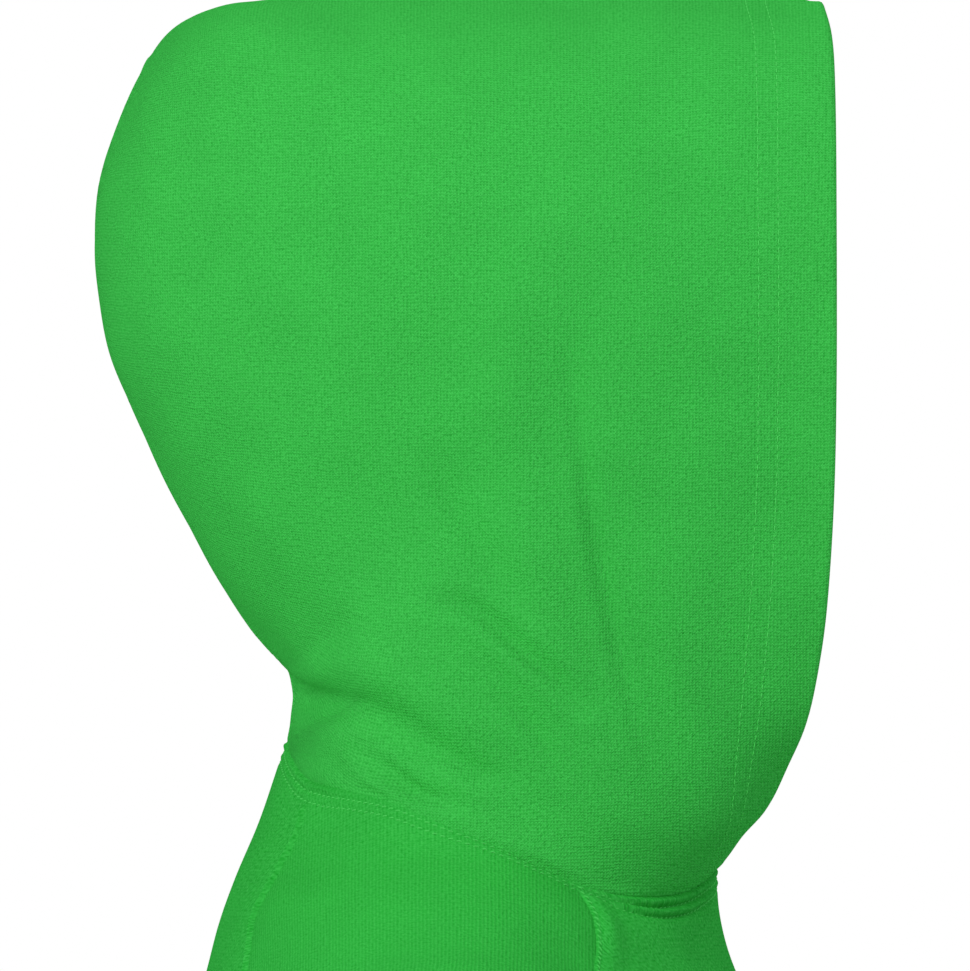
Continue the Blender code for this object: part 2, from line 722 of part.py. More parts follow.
def waistband():
    """The rib band round the hem."""
    shape, centre = trunk_ring(TRUNK_END, 2 * WAIST_RIBS)
    rings = []
    centres = []
    for share, drawn_in in WAIST_SHAPE:
        drop = np.array([0.0, 0.0, -SEAM_GAP - WAIST_HEIGHT * share])
        rings.append(centre + (shape - centre) * (1 - drawn_in) + drop)
        centres.append(centre + drop)
    return rib_band(rings, centres, WAIST_RIBS)


def cuff():
    """The rib cuff of the right sleeve."""
    rings = []
    centres = []
    for share in CUFF_SHARES:
        centre = CUFF_START + CUFF_AXIS * (SEAM_GAP + CUFF_LENGTH * share)
        radius = CUFF_START_RADIUS + (CUFF_END_RADIUS - CUFF_START_RADIUS) * smoothstep(share)
        rings.append(ring_round(centre, CUFF_AXIS, radius, 2 * CUFF_RIBS)[:-1])
        centres.append(centre)
    return rib_band(rings, centres, CUFF_RIBS)


# --- The dressed sheet --------------------------------------------------------------------------------------
def press_folds(sheet):
    """Press the troughs into the hood, away from its seams."""
    normals = sheet.normals()
    points = np.array(sheet.points)
    every_piece = set(sheet.pieces)
    for piece, folds in (("hood_right", HOOD_FOLDS_RIGHT), ("hood_left", HOOD_FOLDS_LEFT)):
        shared = set().union(*(sheet.numbers_of(other) for other in every_piece - {piece}))
        inside = sorted(sheet.numbers_of(piece) - shared)
        depth = fold_depth(points[inside, 1], points[inside, 2], folds)
        points[inside] -= normals[inside] * depth[:, None]
    sheet.points = list(points)


def flat_rims(sheet):
    """The sheet's normals, turned so that the rims at the waistband and the cuffs are flat."""
    normals = sheet.normals()
    points = np.array(sheet.points)
    at_waist = np.abs(points[:, 2] - TRUNK_END) < SAME_POINT
    normals[at_waist, 2] = 0.0
    for turn in (np.array, mirrored):
        start, axis = turn(CUFF_START), turn(CUFF_AXIS)
        offset = points - start
        near = np.linalg.norm(offset, axis=1) < 1.1 * CUFF_START_RADIUS
        at_cuff = near & (np.abs(offset @ axis) < SAME_POINT)
        normals[at_cuff] -= (normals[at_cuff] @ axis)[:, None] * axis
    return unit(normals)


# --- Objects ------------------------------------------------------------------------------------------------
def material(name, colour):
    """A plain cloth material."""
    made = bpy.data.materials.new(name)
    made.use_nodes = True
    shader = made.node_tree.nodes["Principled BSDF"]
    shader.inputs["Base Color"].default_value = colour
    shader.inputs["Roughness"].default_value = CLOTH_ROUGHNESS
    shader.inputs["Metallic"].default_value = 0.0
    return made


def triangles(points, faces):
    """The faces as triangles, each four-sided one cut across its shorter diagonal."""
    cut = []
    for face in faces:
        if len(face) == 3:
            cut.append(face)
            continue
        a, b, c, d = face
        if np.linalg.norm(points[a] - points[c]) <= np.linalg.norm(points[b] - points[d]):
            cut += [[a, b, c], [a, c, d]]
        else:
            cut += [[a, b, d], [b, c, d]]
    return cut


def facing_out(points, faces):
    """The triangles, turned so that the solid's volume is positive."""
    corners = points[np.array(faces)]
    volume = np.sum(corners[:, 0] * np.cross(corners[:, 1], corners[:, 2]))
    return [face[::-1] for face in faces] if volume < 0 else faces


def make_object(name, points, faces, finish):
    """One closed piece as an object."""
    mesh = bpy.data.meshes.new(name)
    faces = facing_out(points, triangles(points, faces))
    mesh.from_pydata([tuple(p) for p in points], [], faces)
    mesh.materials.append(finish)
    mesh.shade_smooth()
    made = bpy.data.objects.new(name, mesh)
    bpy.context.scene.collection.objects.link(made)
    return made


def main():
    """Build the whole hoodie."""
    for old in list(bpy.data.objects):
        bpy.data.objects.remove(old, do_unlink=True)
    cloth = material("sweatshirt knit", GREEN)
    rib = material("rib knit", RIB_GREEN)

    back, front, sleeve = body_grids()
    hood = hood_grid()
    sheet = Sheet()
    for label, turn, flip in (("right", np.array, True), ("left", mirrored, False)):
        sheet.grid("back", turn(back), flip)
        sheet.grid("sleeve_" + label, turn(sleeve), flip)
        sheet.grid("front", turn(front), flip)
        sheet.grid("hood_" + label, turn(hood[:, ::-1]), not flip)

    press_folds(sheet)
    normals = flat_rims(sheet)

    for piece in ("back", "front", "sleeve_right", "sleeve_left", "hood_right", "hood_left"):
        thickness = hood_thickness if piece.startswith("hood") else plain_thickness
        wall_points, wall_faces = piece_wall(sheet, piece, normals, thickness)
        make_object(piece, wall_points, wall_faces, cloth)
    band_points, band_faces = waistband()
    make_object("waistband", band_points, band_faces, rib)
    cuff_points, cuff_faces = cuff()
    make_object("cuff_right", cuff_points, cuff_faces, rib)
    make_object("cuff_left", mirrored(cuff_points), cuff_faces, rib)


main()
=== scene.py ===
"""The pullover hoodie's looks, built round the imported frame.

Metres, +Z up. The wearer faces -Y, so the wearer's right side is at -X. Tables are in millimetres.
"""

import functools
import math

import bpy
import numpy as np
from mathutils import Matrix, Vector


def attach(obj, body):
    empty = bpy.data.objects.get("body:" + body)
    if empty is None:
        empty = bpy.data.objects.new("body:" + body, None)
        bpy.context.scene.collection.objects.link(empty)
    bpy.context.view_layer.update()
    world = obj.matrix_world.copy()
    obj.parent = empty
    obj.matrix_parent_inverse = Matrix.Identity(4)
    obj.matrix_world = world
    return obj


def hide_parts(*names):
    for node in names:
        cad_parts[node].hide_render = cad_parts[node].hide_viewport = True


MM = 0.001

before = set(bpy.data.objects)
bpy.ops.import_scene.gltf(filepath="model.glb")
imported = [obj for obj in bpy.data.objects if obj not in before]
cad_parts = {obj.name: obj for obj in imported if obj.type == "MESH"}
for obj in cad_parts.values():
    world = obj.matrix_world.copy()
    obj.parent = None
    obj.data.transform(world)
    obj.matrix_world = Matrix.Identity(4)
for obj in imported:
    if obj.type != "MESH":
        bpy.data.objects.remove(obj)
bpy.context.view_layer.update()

# --- The garment's form ---
# It is the solids' form but for three things that follow the photo more closely: the neck seam in front is
# up to 4.5 mm higher, the hood's centre seam is drawn finer at the nape, and the hood starts more softly.
CLOTH = 2.0 * MM
HOOD_HEM_CLOTH = 3.4 * MM
HOOD_HEM_WIDTH = 23.4 * MM
HOOD_HEM_STEP = 8.0 * MM

# Neck seam, from centre back round the right side to centre front: x, y, z.
NECK_SEAM = (
    (0, 69, 31.5), (-22, 67.5, 26.5), (-42, 62, 19.8), (-64, 49, 16.3),
    (-78, 35.5, 12.5), (-87, 20, 6), (-90, 5, 0), (-88.5, -10, -7.4),
    (-82, -27, -14.6), (-66, -45, -17), (-45, -58, -15.6), (-22, -66, -11.2),
    (0, -68.2, -8.6),
)
BACK_RAGLAN_AT = 0.175
FRONT_RAGLAN_AT = 0.605

# Centre seam of the hood, from the back of the neck up and over to the front edge: y, z.
HOOD_SEAM = (
    (69, 31.5), (68.2, 38), (68.4, 47), (68.7, 53), (70.4, 56.4), (74, 59.6),
    (82, 69), (93.5, 86), (108.5, 115.2), (119, 137), (126.3, 156), (130, 175),
    (131.3, 192), (130, 210), (124.5, 228), (116.5, 245.8), (107, 258.5), (96, 265.5),
    (80, 268.8), (50, 271.2), (10, 272), (-40, 271.4), (-85, 270), (-100.5, 268),
)
HOOD_CORNER_AT = 0.52
# Front edge of the hood, from the front of the neck up to the centre seam: y, z.
HOOD_FRONT = (
    (-68.2, -8.6), (-75, 0.5), (-83.5, 9.8), (-90, 22), (-95.5, 39), (-99.5, 60),
    (-101.8, 86), (-103.2, 115), (-103.8, 150), (-103.8, 200), (-103.6, 240), (-102.8, 258),
    (-100.5, 268),
)
HEAD_CENTRE = (-60.0 * MM, 150.0 * MM)
HEAD_TIP_RADIUS = 76.0 * MM
HEAD_POWERS = (2.0, 3.4)
POWER_BLEND = 0.8
BELOW_NECK = 400.0 * MM
# The corner of the centre seam shows only close to it: over this turn the form is soft further in.
SEAM_SOFT_TURN = 0.5
SEAM_SHARP_FROM = 0.7
SEAM_TURNS = 1500
# Height, half width of the hood over the ears.
HOOD_WIDTH = (
    (-30, 84), (30, 86), (90, 91), (150, 95), (280, 95),
)
HOOD_FRONT_NARROWING = 14.0 * MM
HOOD_NARROWS_FROM = -20.0 * MM
HOOD_NARROWS_OVER = 84.0 * MM
NECK_BLEND = 0.45
HOOD_ROW_POWER = 1.25

# Level sections of the trunk: height, half width, front, back, middle, front power, back power.
TRUNK = (
    (80, 62, -44, 58, 8, 2, 2),
    (45, 74, -56, 66, 8, 2, 2),
    (31.5, 78, -60, 69, 8, 2, 2),
    (22, 81, -62, 73, 8, 2, 2),
    (10, 85, -65, 77, 9, 2, 2),
    (0, 92, -67, 81, 10, 2, 2),
    (-11.5, 112, -68.5, 85.5, 12, 1.9, 2),
    (-20, 130, -69, 89, 14, 1.75, 2),
    (-30, 150, -71, 92, 16, 1.6, 2),
    (-42, 172, -75, 94.8, 18, 1.55, 2),
    (-56, 190, -80.5, 98, 18, 1.6, 2.1),
    (-75, 198, -90, 102, 16, 1.8, 2.2),
    (-105, 198, -103, 106, 12, 2.1, 2.4),
    (-150, 190, -116, 108, 4, 2.4, 2.5),
    (-210, 182, -125, 106, -4, 2.5, 2.5),
    (-280, 179, -128, 101, -10, 2.5, 2.5),
    (-360, 179, -125, 96, -12, 2.4, 2.4),
    (-440, 182, -123, 97, -12, 2.4, 2.4),
    (-510, 187, -126, 103, -11, 2.4, 2.4),
    (-552, 189, -129, 107, -10, 2.4, 2.4),
    (-572, 184, -124, 102, -10, 2.4, 2.4),
    (-584, 171, -112, 91, -10, 2.4, 2.4),
)
HALF_WIDTH, FRONT, BACK, MIDDLE, FRONT_POWER, BACK_POWER = range(1, 7)
TRUNK_END = -584.0 * MM

# Centre line of the right arm: x, y, z, radius.
ARM = (
    (-160, 14, -100, 60), (-186, 14, -132, 69), (-223, 15, -210, 68),
    (-261, 16, -294, 65), (-300, 15, -379, 61), (-326, 7, -460, 56),
    (-350, -6, -540, 52), (-362.5, -13.5, -583, 50), (-367, -16, -600, 45),
    (-369.5, -17.5, -610, 37),
)
ARM_LINE_POINTS = 30
ARMPIT_BLEND = 18.0 * MM
UNDERARM_X = (-260.0 * MM, -165.0 * MM)
UNDERARM_Y = 10.0 * MM
UNDERARM_Z = (-200.0 * MM, -400.0 * MM)
UNDERARM_POINTS = 96

# Seams between the neck and the underarm, near the cloth: x, y, z.
BACK_RAGLAN = (
    (-53, 68.5, 6.4), (-61, 75, -8), (-71, 79.5, -24), (-97, 81, -44),
    (-116, 85, -90), (-134, 82, -145), (-155, 71, -200), (-176, 50, -248),
)
FRONT_RAGLAN = (
    (-106, -28.5, -28), (-127, -30, -43), (-141, -44, -85), (-149, -58, -140),
    (-160, -62, -200), (-180, -42, -250),
)
SHOULDER_LINE = (
    (-130, 13, -20), (-175, 15, -44), (-216, 15, -74),
    (-248, 15, -118), (-280, 15, -175),
)
NECK_FADE = 0.32
END_PULL = 6

RIB_CLOTH = 3.0 * MM
RIB_RELIEF = 0.9 * MM
SEAM_GAP = 0.004 * MM
WAIST_HEIGHT = 66.0 * MM
WAIST_RIBS = 180
# Share of the height from the top, share of the trunk's end by which the waistband is drawn in.
WAIST_SHAPE = ((0.0, 0.004), (0.5, -0.002), (1.0, 0.03))
CUFF_LENGTH = 66.0 * MM
CUFF_RIBS = 40
CUFF_END_RADIUS = 33.0 * MM

# --- How finely curves are worked out ---
DENSE = 48
CURVE_STEPS = 400
SPAN_STEPS = 24
SETTLE_STEPS = 6
HALVINGS = 24
SLOPE_STEP = 0.2 * MM
LONGEST_MOVE = 12.0 * MM
LEAST_SLOPE = 0.25
LEAST_SIZE = 0.05
TINY = 1e-9
# Cells of the coarse grids that the fine ones are read from.
BACK_CELLS = 18
SLEEVE_CELLS = 32
FRONT_CELLS = 18
YOKE_ROWS = 22
RAGLAN_CELLS = 88
TRUNK_ROWS = 22
ARM_ROWS = 26

# --- Folds ---
# On the hood: depth, half width, rolls at the left and right of the way along it as shares of its depth, and
# its points as seen from the side: y, z.
HOOD_FOLDS_RIGHT = (
    (3, 11, 0, 0.5, ((-22, 180), (-21, 152), (-23, 130), (-28, 102), (-33, 78), (-39, 50), (-45, 28))),
    (1.6, 2.7, 0.1, 0.6, ((-21.5, 158), (-21.1, 146), (-23.4, 131), (-27.8, 102.4), (-32.6, 79),
        (-38.9, 51), (-43.8, 33), (-46.7, 22))),
    (2.3, 4.8, 0.25, 0.2, ((24, 126), (18, 112), (9, 97), (-3, 80.5), (-8, 73))),
    (3, 3.2, 0.2, 0.8, ((22, 76.5), (12, 75), (4, 70.5), (-3, 64.5), (-14.7, 53.5), (-25, 43))),
    (2.6, 7, 0.9, 0, ((66, 43.4), (59, 44.6), (49, 43.8), (38, 38.2), (28.5, 31.8), (17.3, 26.4),
        (1.3, 20.2))),
    (1.8, 2.8, 0.2, 0.7, ((24, 32), (12, 25), (0, 20.5))),
    (2.6, 3, 0.3, 0.6, ((46, 30), (38, 24), (29, 17), (17, 12.5))),
    (1.4, 2.6, 0.3, 0.6, ((2, 46), (-7, 39.5), (-13, 30), (-17, 22))),
    (1.2, 2.4, 0.3, 0.5, ((16, 24), (5, 17))),
    (1.6, 16, 0, 0, ((88, 182), (90, 158), (84, 132))),
    (1.2, 9, 0.4, 0.2, ((104, 196), (96, 190), (86, 176))),
    (0.9, 5, 0.3, 0.3, ((-42, 66), (-49, 44), (-52, 30))),
)
HOOD_FOLDS_LEFT = (
    (3, 11, 0.5, 0, ((-15, 188), (-17, 158), (-22, 126), (-30, 92), (-40, 50))),
    (2, 2.8, 0.6, 0.1, ((-17, 150), (-20, 130), (-27, 100), (-35, 66), (-42, 34))),
    (1.8, 3, 0.3, 0.5, ((30, 112), (20, 98), (6, 84), (-8, 72))),
    (2.2, 3.2, 0.7, 0.2, ((26, 68), (12, 66), (0, 58), (-12, 46), (-20, 32))),
    (4, 8, 0.3, 0.2, ((66, 47), (52, 49), (38, 43), (24, 32), (6, 22))),
    (1.8, 3, 0.6, 0.3, ((50, 31), (38, 21), (22, 11))),
    (1.4, 2.8, 0.5, 0.3, ((10, 50), (-2, 40), (-10, 25))),
    (1.8, 15, 0, 0, ((82, 196), (90, 168), (86, 140))),
)
# Across the hood's centre seam at the back of the neck, the same on both halves.
NOTCH_FOLD = ((3.6, 5, 0, 0, ((78, 48.5), (68.5, 46.5), (60, 45), (46, 42))),)
NOTCH_AT_SEAM = 0.3
# On the front (side -1) and back (side 1): depth, half width, side, points x, z. Rolls are the same on both.
TRUNK_FOLDS = (
    (5, 11, -1, ((-174, -262), (-152, -225), (-130, -185), (-114, -150))),
    (4, 10, -1, ((-176, -285), (-148, -268), (-118, -252), (-88, -246))),
    (3, 12, -1, ((-168, -318), (-140, -330), (-105, -336))),
    (4.5, 12, -1, ((-170, -305), (-162, -370), (-150, -440))),
    (4, 10, -1, ((-152, -566), (-140, -524), (-132, -480))),
    (3.5, 9, -1, ((-92, -570), (-84, -538), (-90, -502))),
    (3.2, 9, -1, ((-34, -570), (-28, -534), (-36, -494))),
    (2.6, 16, -1, ((-120, -452), (-60, -470), (-8, -464))),
    (5, 11, 1, ((-174, -262), (-152, -232), (-124, -198), (-104, -160))),
    (4, 10, 1, ((-174, -292), (-140, -282), (-100, -286))),
    (4, 14, 1, ((-112, -398), (-56, -418), (8, -420))),
    (3.2, 12, 1, ((-86, -462), (-40, -478), (12, -476))),
    (4, 12, 1, ((-168, -320), (-158, -390), (-146, -452))),
    (3.8, 10, 1, ((-146, -566), (-136, -526), (-140, -486))),
    (3.2, 9, 1, ((-70, -570), (-62, -536), (-68, -498))),
    (3, 9, 1, ((-16, -570), (-22, -540), (-14, -505))),
)
# On the sleeve: depth, half width, points: distance along the arm, degrees round it from inside by the back.
ARM_FOLDS = (
    (5, 11, ((178, 328), (205, 300), (240, 268), (270, 240))),
    (4.5, 11, ((184, 32), (212, 62), (250, 96), (280, 125))),
    (3.5, 9, ((218, 350), (240, 312), (264, 280))),
    (5, 9, ((300, 225), (312, 262), (322, 300), (326, 335))),
    (6, 10, ((338, 240), (340, 275), (346, 312), (356, 345))),
    (4, 8, ((374, 215), (368, 250), (376, 290), (390, 322))),
    (3.5, 9, ((350, 60), (362, 100), (380, 140))),
    (3, 9, ((318, 40), (330, 10), (338, -18))),
    (4.5, 10, ((420, 320), (430, 275), (446, 235), (452, 200))),
    (4, 9, ((446, 40), (460, 85), (474, 130), (470, 170))),
    (5, 9, ((498, 350), (500, 300), (508, 245), (504, 195))),
    (5, 9, ((506, 30), (498, 80), (502, 130), (512, 175))),
    (4, 8, ((530, 10), (526, 70), (531, 130))),
    (4, 8, ((531, 200), (524, 260), (530, 320))),
)
# How far each point of the left side's folds strays from the right side's, in the table's units, and how
# much their depth changes.
LEFT_STRAY = 7.0
LEFT_DEPTH_CHANGE = 0.25
ARM_STRAY_SEED = 11
TRUNK_STRAY_SEED = 12
# Height of the rolls beside the troughs of trunk and sleeves, as a share of their depth.
ROLL = 0.3
# Place and width of the roll of cloth beside a trough, in half widths, and where it ends, in its own widths.
ROLL_AT = 1.9
ROLL_WIDTH = 0.9
ROLL_END = 2.5

# --- Seams ---
STITCH_PITCH = 2.85 * MM
STITCH_LENGTH = 1.8 * MM
THREAD = 0.42 * MM
STITCH_RINGS = (-1.0, -0.45, 0.45, 1.0)
STITCH_TAPER = 0.75
STITCH_RISE = 0.42
STITCH_SINK = 0.7
STITCH_SIDES = 6
HEM_ROWS = (17.0 * MM, 23.4 * MM)
HEM_GROOVE = 0.1 * MM
# Roll beside the hood's front edge, as a share of the hem's grooves.
HEM_ROLL = 0.5
# Around the neck seam, by its y: how far below it the two stitch rows are, the roll beside it, the roll
# between the rows, the rows' grooves, the ditch at the seam and the swell over its turned-in edges.
NECK_PROFILE = (
    (-69, 3.4, 6.8, 0.25, 0.2, 0.35, 0.3, 0),
    (-62, 3.5, 7, 0.5, 0.5, 1.1, 0.4, 0),
    (-50, 3.5, 7.2, 0.7, 0.8, 1.8, 0.5, 0),
    (-36, 2.8, 6, 0.5, 0.5, 0.9, 0.2, 0.2),
    (-28, 1.4, 4.1, 0.1, 0.2, 0.3, 0, 0.8),
    (30, 1.4, 4.1, 0.1, 0.2, 0.3, 0, 0.8),
    (48, 2.6, 5.4, 0.6, 0.2, 0.3, 0.1, 0.4),
    (58, 3.4, 6.6, 1.1, 0.2, 0.4, 0.4, 0.2),
    (69, 3.4, 6.6, 0.7, 0.2, 0.3, 0.2, 0.4),
)
FIRST_ROW, SECOND_ROW, BESIDE, BETWEEN, ROW_GROOVE, DITCH, SWELL = range(1, 8)
SWELL_WIDTH = 5.0 * MM
GROOVE_WIDTH = 0.9 * MM
DITCH_DEPTH = 0.35 * MM
DITCH_WIDTH = 0.9 * MM
HOOD_SEAM_RIDGE = 0.35 * MM
HOOD_SEAM_RIDGE_WIDTH = 3.8 * MM
# Along the raglan seams: height and width of the ridge, depth of the ditch.
BACK_RIDGE = (1.4 * MM, 3.4 * MM, 0.08 * MM)
FRONT_RIDGE = (0.5 * MM, 1.9 * MM, 0.12 * MM)
RAGLAN_ROW = 1.2 * MM
RAGLAN_SLANT = 0.7
NECK_SLANT = 0.3
# Turn of the normals that both sides of the neck seam share, and how far from it.
NECK_OUT = 0.8
NECK_UP = 0.5
NECK_TURN = 5.0 * MM
SEAM_TURN = 6.0 * MM
HOOD_CLEAR = 4.0 * MM
FOLD_END = 0.08
FOLD_CLEAR = 10.0 * MM
ROWS_CLEAR = 4.0 * MM
RIPPLES = 14
# The shortest ripple, as a share of the longest.
RIPPLE_SHORTEST = 0.35
HOOD_RIPPLE_SEED = 3
BODY_RIPPLE_SEED = 5
# Turns y, z into x, y, z on the plane of the side view.
SIDE_PLANE = np.array([[0.0, 1.0, 0.0], [0.0, 0.0, 1.0]])
RIPPLE_LENGTH = 70.0 * MM
BODY_RIPPLE_LENGTH = 110.0 * MM
RIPPLE_SIZE = 0.45 * MM

# --- How fine the shown meshes are ---
SEAM_STEP = 0.6 * MM
SEAM_REACH = 9.0 * MM
HOOD_STEP = 2.1 * MM
BODY_STEP = 3.2 * MM
HEM_STEP = 0.62 * MM
HOOD_HEM_REACH = 27.0 * MM
HOOD_DEEP = 240.0 * MM
HOOD_TALL = 290.0 * MM
HOOD_INSIDE = (0.0, 10.0 * MM, 120.0 * MM)
BODY_LONG = 640.0 * MM
BODY_WIDE = 200.0 * MM
SLEEVE_WIDE = 340.0 * MM
LINE_STEP = 0.5 * MM
FAR = 30.0 * MM
CHUNKS = 40
RIM_STEPS = 5
SHARP = math.radians(50.0)
RIB_STEPS = 6
RIB_POWER = 0.8
RIB_FADE = 5.0 * MM
# Height of the ribs at the band's seam, as a share, how much of their fade is left where the folded edge
# starts, and their height in that edge.
RIB_SEAM_SHARE = 0.2
RIB_EDGE_SHARE = 0.35
RIB_BEND_SHARE = 0.3
BAND_ROWS = 14
HOOD_FLAT_STEP = 2.0 * MM
HOOD_FLAT_Y = (-106.0 * MM, 134.0 * MM)
HOOD_FLAT_Z = (-26.0 * MM, 274.0 * MM)
HOOD_MIDDLE = (0.0, 192.0 * MM)
STEEPEST_FLAT = 3.0
# Just over one cell, which keeps a place inside the last cell of a grid.
LAST_CELL = 1.001

# --- Knit ---
WALE = 1.06 * MM
BODY_WALE = 1.2 * MM
COURSE = 1.0 * MM
SLEEVE_GRAIN = np.array([-0.45, 0.0, -0.89])
BODY_GRAIN = np.array([0.0, 0.0, -1.0])
SHOULDER_RADIUS = 76.0 * MM
SHOULDER_TURN = 0.8
SHOULDER_LONG = 230.0 * MM
# Share of that length from which the cloth starts to lie as a tube.
TUBE_FROM = 0.4
RIB_WALES = 4
LOOP_LEAN = 0.8
# Height of the wales, of the loops along them and of the fuzz, and how light the cloth is between its two
# greens. Sleeves and panels are set much darker than the hood: painted shade, for the shade that the hood
# throws on the shoulders and body.
HOOD_LOOPS = (0.15, 0.24, 1.5, 0.69)
SLEEVE_LOOPS = (0.16, 0.12, 1.4, 0.42)
PANEL_LOOPS = (0.15, 0.1, 2.3, 0.43)
RIB_LOOPS = (0.24, 0.12, 0.8, 0.58)
TONE_SPAN = 1.2
# How far the wales wander.
HOOD_DRIFT = (0.9 * MM, 2.0 * MM, 0.0)
BODY_DRIFT = (0.3 * MM, 1.2 * MM, 0.0)
# Scale and detail of each noise.
DRIFT_NOISE = (150.0, 2.0)
KNIT_HEIGHT = 0.28 * MM
FUZZ_NOISE = (900.0, 2.0)
DYE_NOISE = (45.0, 3.0)
DYE_CHANGE = 0.16
# The second green of each pair is painted shade: the knit takes it on in its hollows, between loops and
# wales.
CLOTH_GREEN = (0.068, 0.64, 0.104, 1.0)
CLOTH_SHADED_GREEN = (0.018, 0.40, 0.036, 1.0)
RIB_GREEN = (0.052, 0.60, 0.084, 1.0)
RIB_SHADED_GREEN = (0.015, 0.37, 0.032, 1.0)
THREAD_GREEN = (0.10, 0.71, 0.14, 1.0)
CLOTH_ROUGHNESS = 0.92
THREAD_ROUGHNESS = 0.6
CLOTH_SPECULAR = 0.0

# --- Studio ---
PIXEL = 0.32 * MM
FRAME_WIDTH = 970
FRAME_HEIGHT = 971
# Where the origin of the garment's frame is in the picture.
ORIGIN_PIXEL = (504.0, 840.0)
CAMERA_DISTANCE = 8.0
SENSOR = 36.0
CAMERA_REACH = 120.0
FLOOR_HEIGHT = -0.76
FLOOR_RADIUS = 12.0
FLOOR_SIDES = 96
FLOOR_COLOUR = (0.8, 0.8, 0.79, 1.0)
FLOOR_ROUGHNESS = 0.8
WORLD_COLOUR = (1.0, 1.0, 1.0, 1.0)
WORLD_LIGHT = 0.26
WORLD_SEEN = 1.0
# Lamps: name, place, target, size, power.
SOFTBOXES = (
    ("key", (-3.0, 1.3, 1.4), (0.0, 0.0, 0.1), (1.8, 1.8), 66.0),
    ("back", (0.0, 2.8, 2.2), (0.0, 0.0, 0.1), (1.8, 1.8), 15.0),
    ("front", (-0.5, -2.2, 3.0), (0.0, 0.0, 0.1), (1.8, 1.8), 36.0),
    ("fill", (3.5, 0.0, 1.1), (0.0, 0.0, -0.1), (2.0, 2.0), 28.0),
)


# --- Curves and tables ---
def distances(points):
    """Distance of each point from the first, along the line through them."""
    steps = np.linalg.norm(np.diff(points, axis=0), axis=1)
    return np.concatenate(([0.0], np.cumsum(steps)))


def read_line(points, along, wanted):
    """The line through points that lie at places along it, read at the wanted places."""
    return np.stack([np.interp(wanted, along, column) for column in points.T], axis=1)


def evenly(points, count):
    """Count points, evenly spaced along the line through the given ones."""
    along = distances(points)
    return read_line(points, along, np.linspace(0.0, along[-1], count))


def cubic(p0, p1, p2, p3, t):
    """A smooth curve through four points, read between the middle two."""
    return 0.5 * (
        2 * p1 + (p2 - p0) * t + (2 * p0 - 5 * p1 + 4 * p2 - p3) * t**2 + (3 * p1 - p0 - 3 * p2 + p3) * t**3
    )


def smooth_line(points, count):
    """Count points, evenly spaced along a smooth curve through the given ones."""
    points = np.asarray(points, dtype=float)
    before = 2 * points[0] - points[1]
    after = 2 * points[-1] - points[-2]
    knots = np.vstack((before, points, after))
    t = np.linspace(0.0, 1.0, SPAN_STEPS, endpoint=False)[:, None]
    spans = [cubic(*four, t) for four in zip(knots, knots[1:], knots[2:], knots[3:])]
    return evenly(np.vstack(spans + [points[-1:]]), count)


def table_line(table, count):
    """Count points along a smooth curve through a table of millimetres."""
    return smooth_line(np.array(table) * MM, count)


@functools.cache
def table_tangents(table, column):
    """A column of a table of millimetres, in metres, with the slopes that keep it from overshooting."""
    rows = np.array(sorted(table)) * MM
    xs = rows[:, 0]
    ys = rows[:, column]
    width = np.diff(xs)
    slope = np.diff(ys) / width
    tangent = np.zeros(len(xs))
    same = slope[:-1] * slope[1:] > 0
    both = slope[:-1] + slope[1:]
    tangent[1:-1][same] = 2 * slope[:-1][same] * slope[1:][same] / both[same]
    return xs, ys, width, tangent


def read_table(table, column, x):
    """A column of a table at x, its first column, smooth between the rows."""
    xs, ys, width, tangent = table_tangents(table, column)
    i = np.clip(np.searchsorted(xs, x) - 1, 0, len(xs) - 2)
    t = np.clip((x - xs[i]) / width[i], 0.0, 1.0)
    h = width[i]
    return (
        ys[i] * (2 * t**3 - 3 * t**2 + 1) + tangent[i] * h * (t**3 - 2 * t**2 + t)
        + ys[i + 1] * (3 * t**2 - 2 * t**3) + tangent[i + 1] * h * (t**3 - t**2)
    )


def unit(vectors):
    """The vectors at length 1."""
    return vectors / np.maximum(np.linalg.norm(vectors, axis=-1, keepdims=True), TINY)


def mirrored(points):
    """The points on the other side of the garment."""
    return points * np.array([-1.0, 1.0, 1.0])


def smoothstep(value):
    """0 below 0, 1 above 1 and a soft rise between."""
    value = np.clip(value, 0.0, 1.0)
    return value * value * (3 - 2 * value)


def resampled(grid, rows_at, cols_at):
    """A grid read at fractional rows and columns, on smooth curves through its points."""
    for axis, places in ((0, rows_at), (1, cols_at)):
        lines = np.moveaxis(grid, axis, 0)
        knots = np.concatenate((2 * lines[:1] - lines[1:2], lines, 2 * lines[-1:] - lines[-2:-1]))
        i = np.clip(np.floor(places).astype(int), 0, len(lines) - 2)
        t = (places - i).reshape((-1,) + (1,) * (grid.ndim - 1))
        grid = np.moveaxis(cubic(*(knots[i + k] for k in range(4)), t), 0, axis)
    return grid


# --- The body form that the trunk and the sleeves lie on ---
ARM_LINE = table_line(ARM, ARM_LINE_POINTS)
CUFF_START = np.array(ARM[-1][:3]) * MM
CUFF_AXIS = unit(CUFF_START - np.array(ARM[-3][:3]) * MM)
CUFF_START_RADIUS = ARM[-1][3] * MM


def gradient(distance, p):
    """The slope of a distance function at each point."""
    parts = []
    for axis in range(3):
        shift = np.zeros(3)
        shift[axis] = SLOPE_STEP
        parts.append((distance(p + shift) - distance(p - shift)) / (2 * SLOPE_STEP))
    return np.stack(parts, axis=-1)


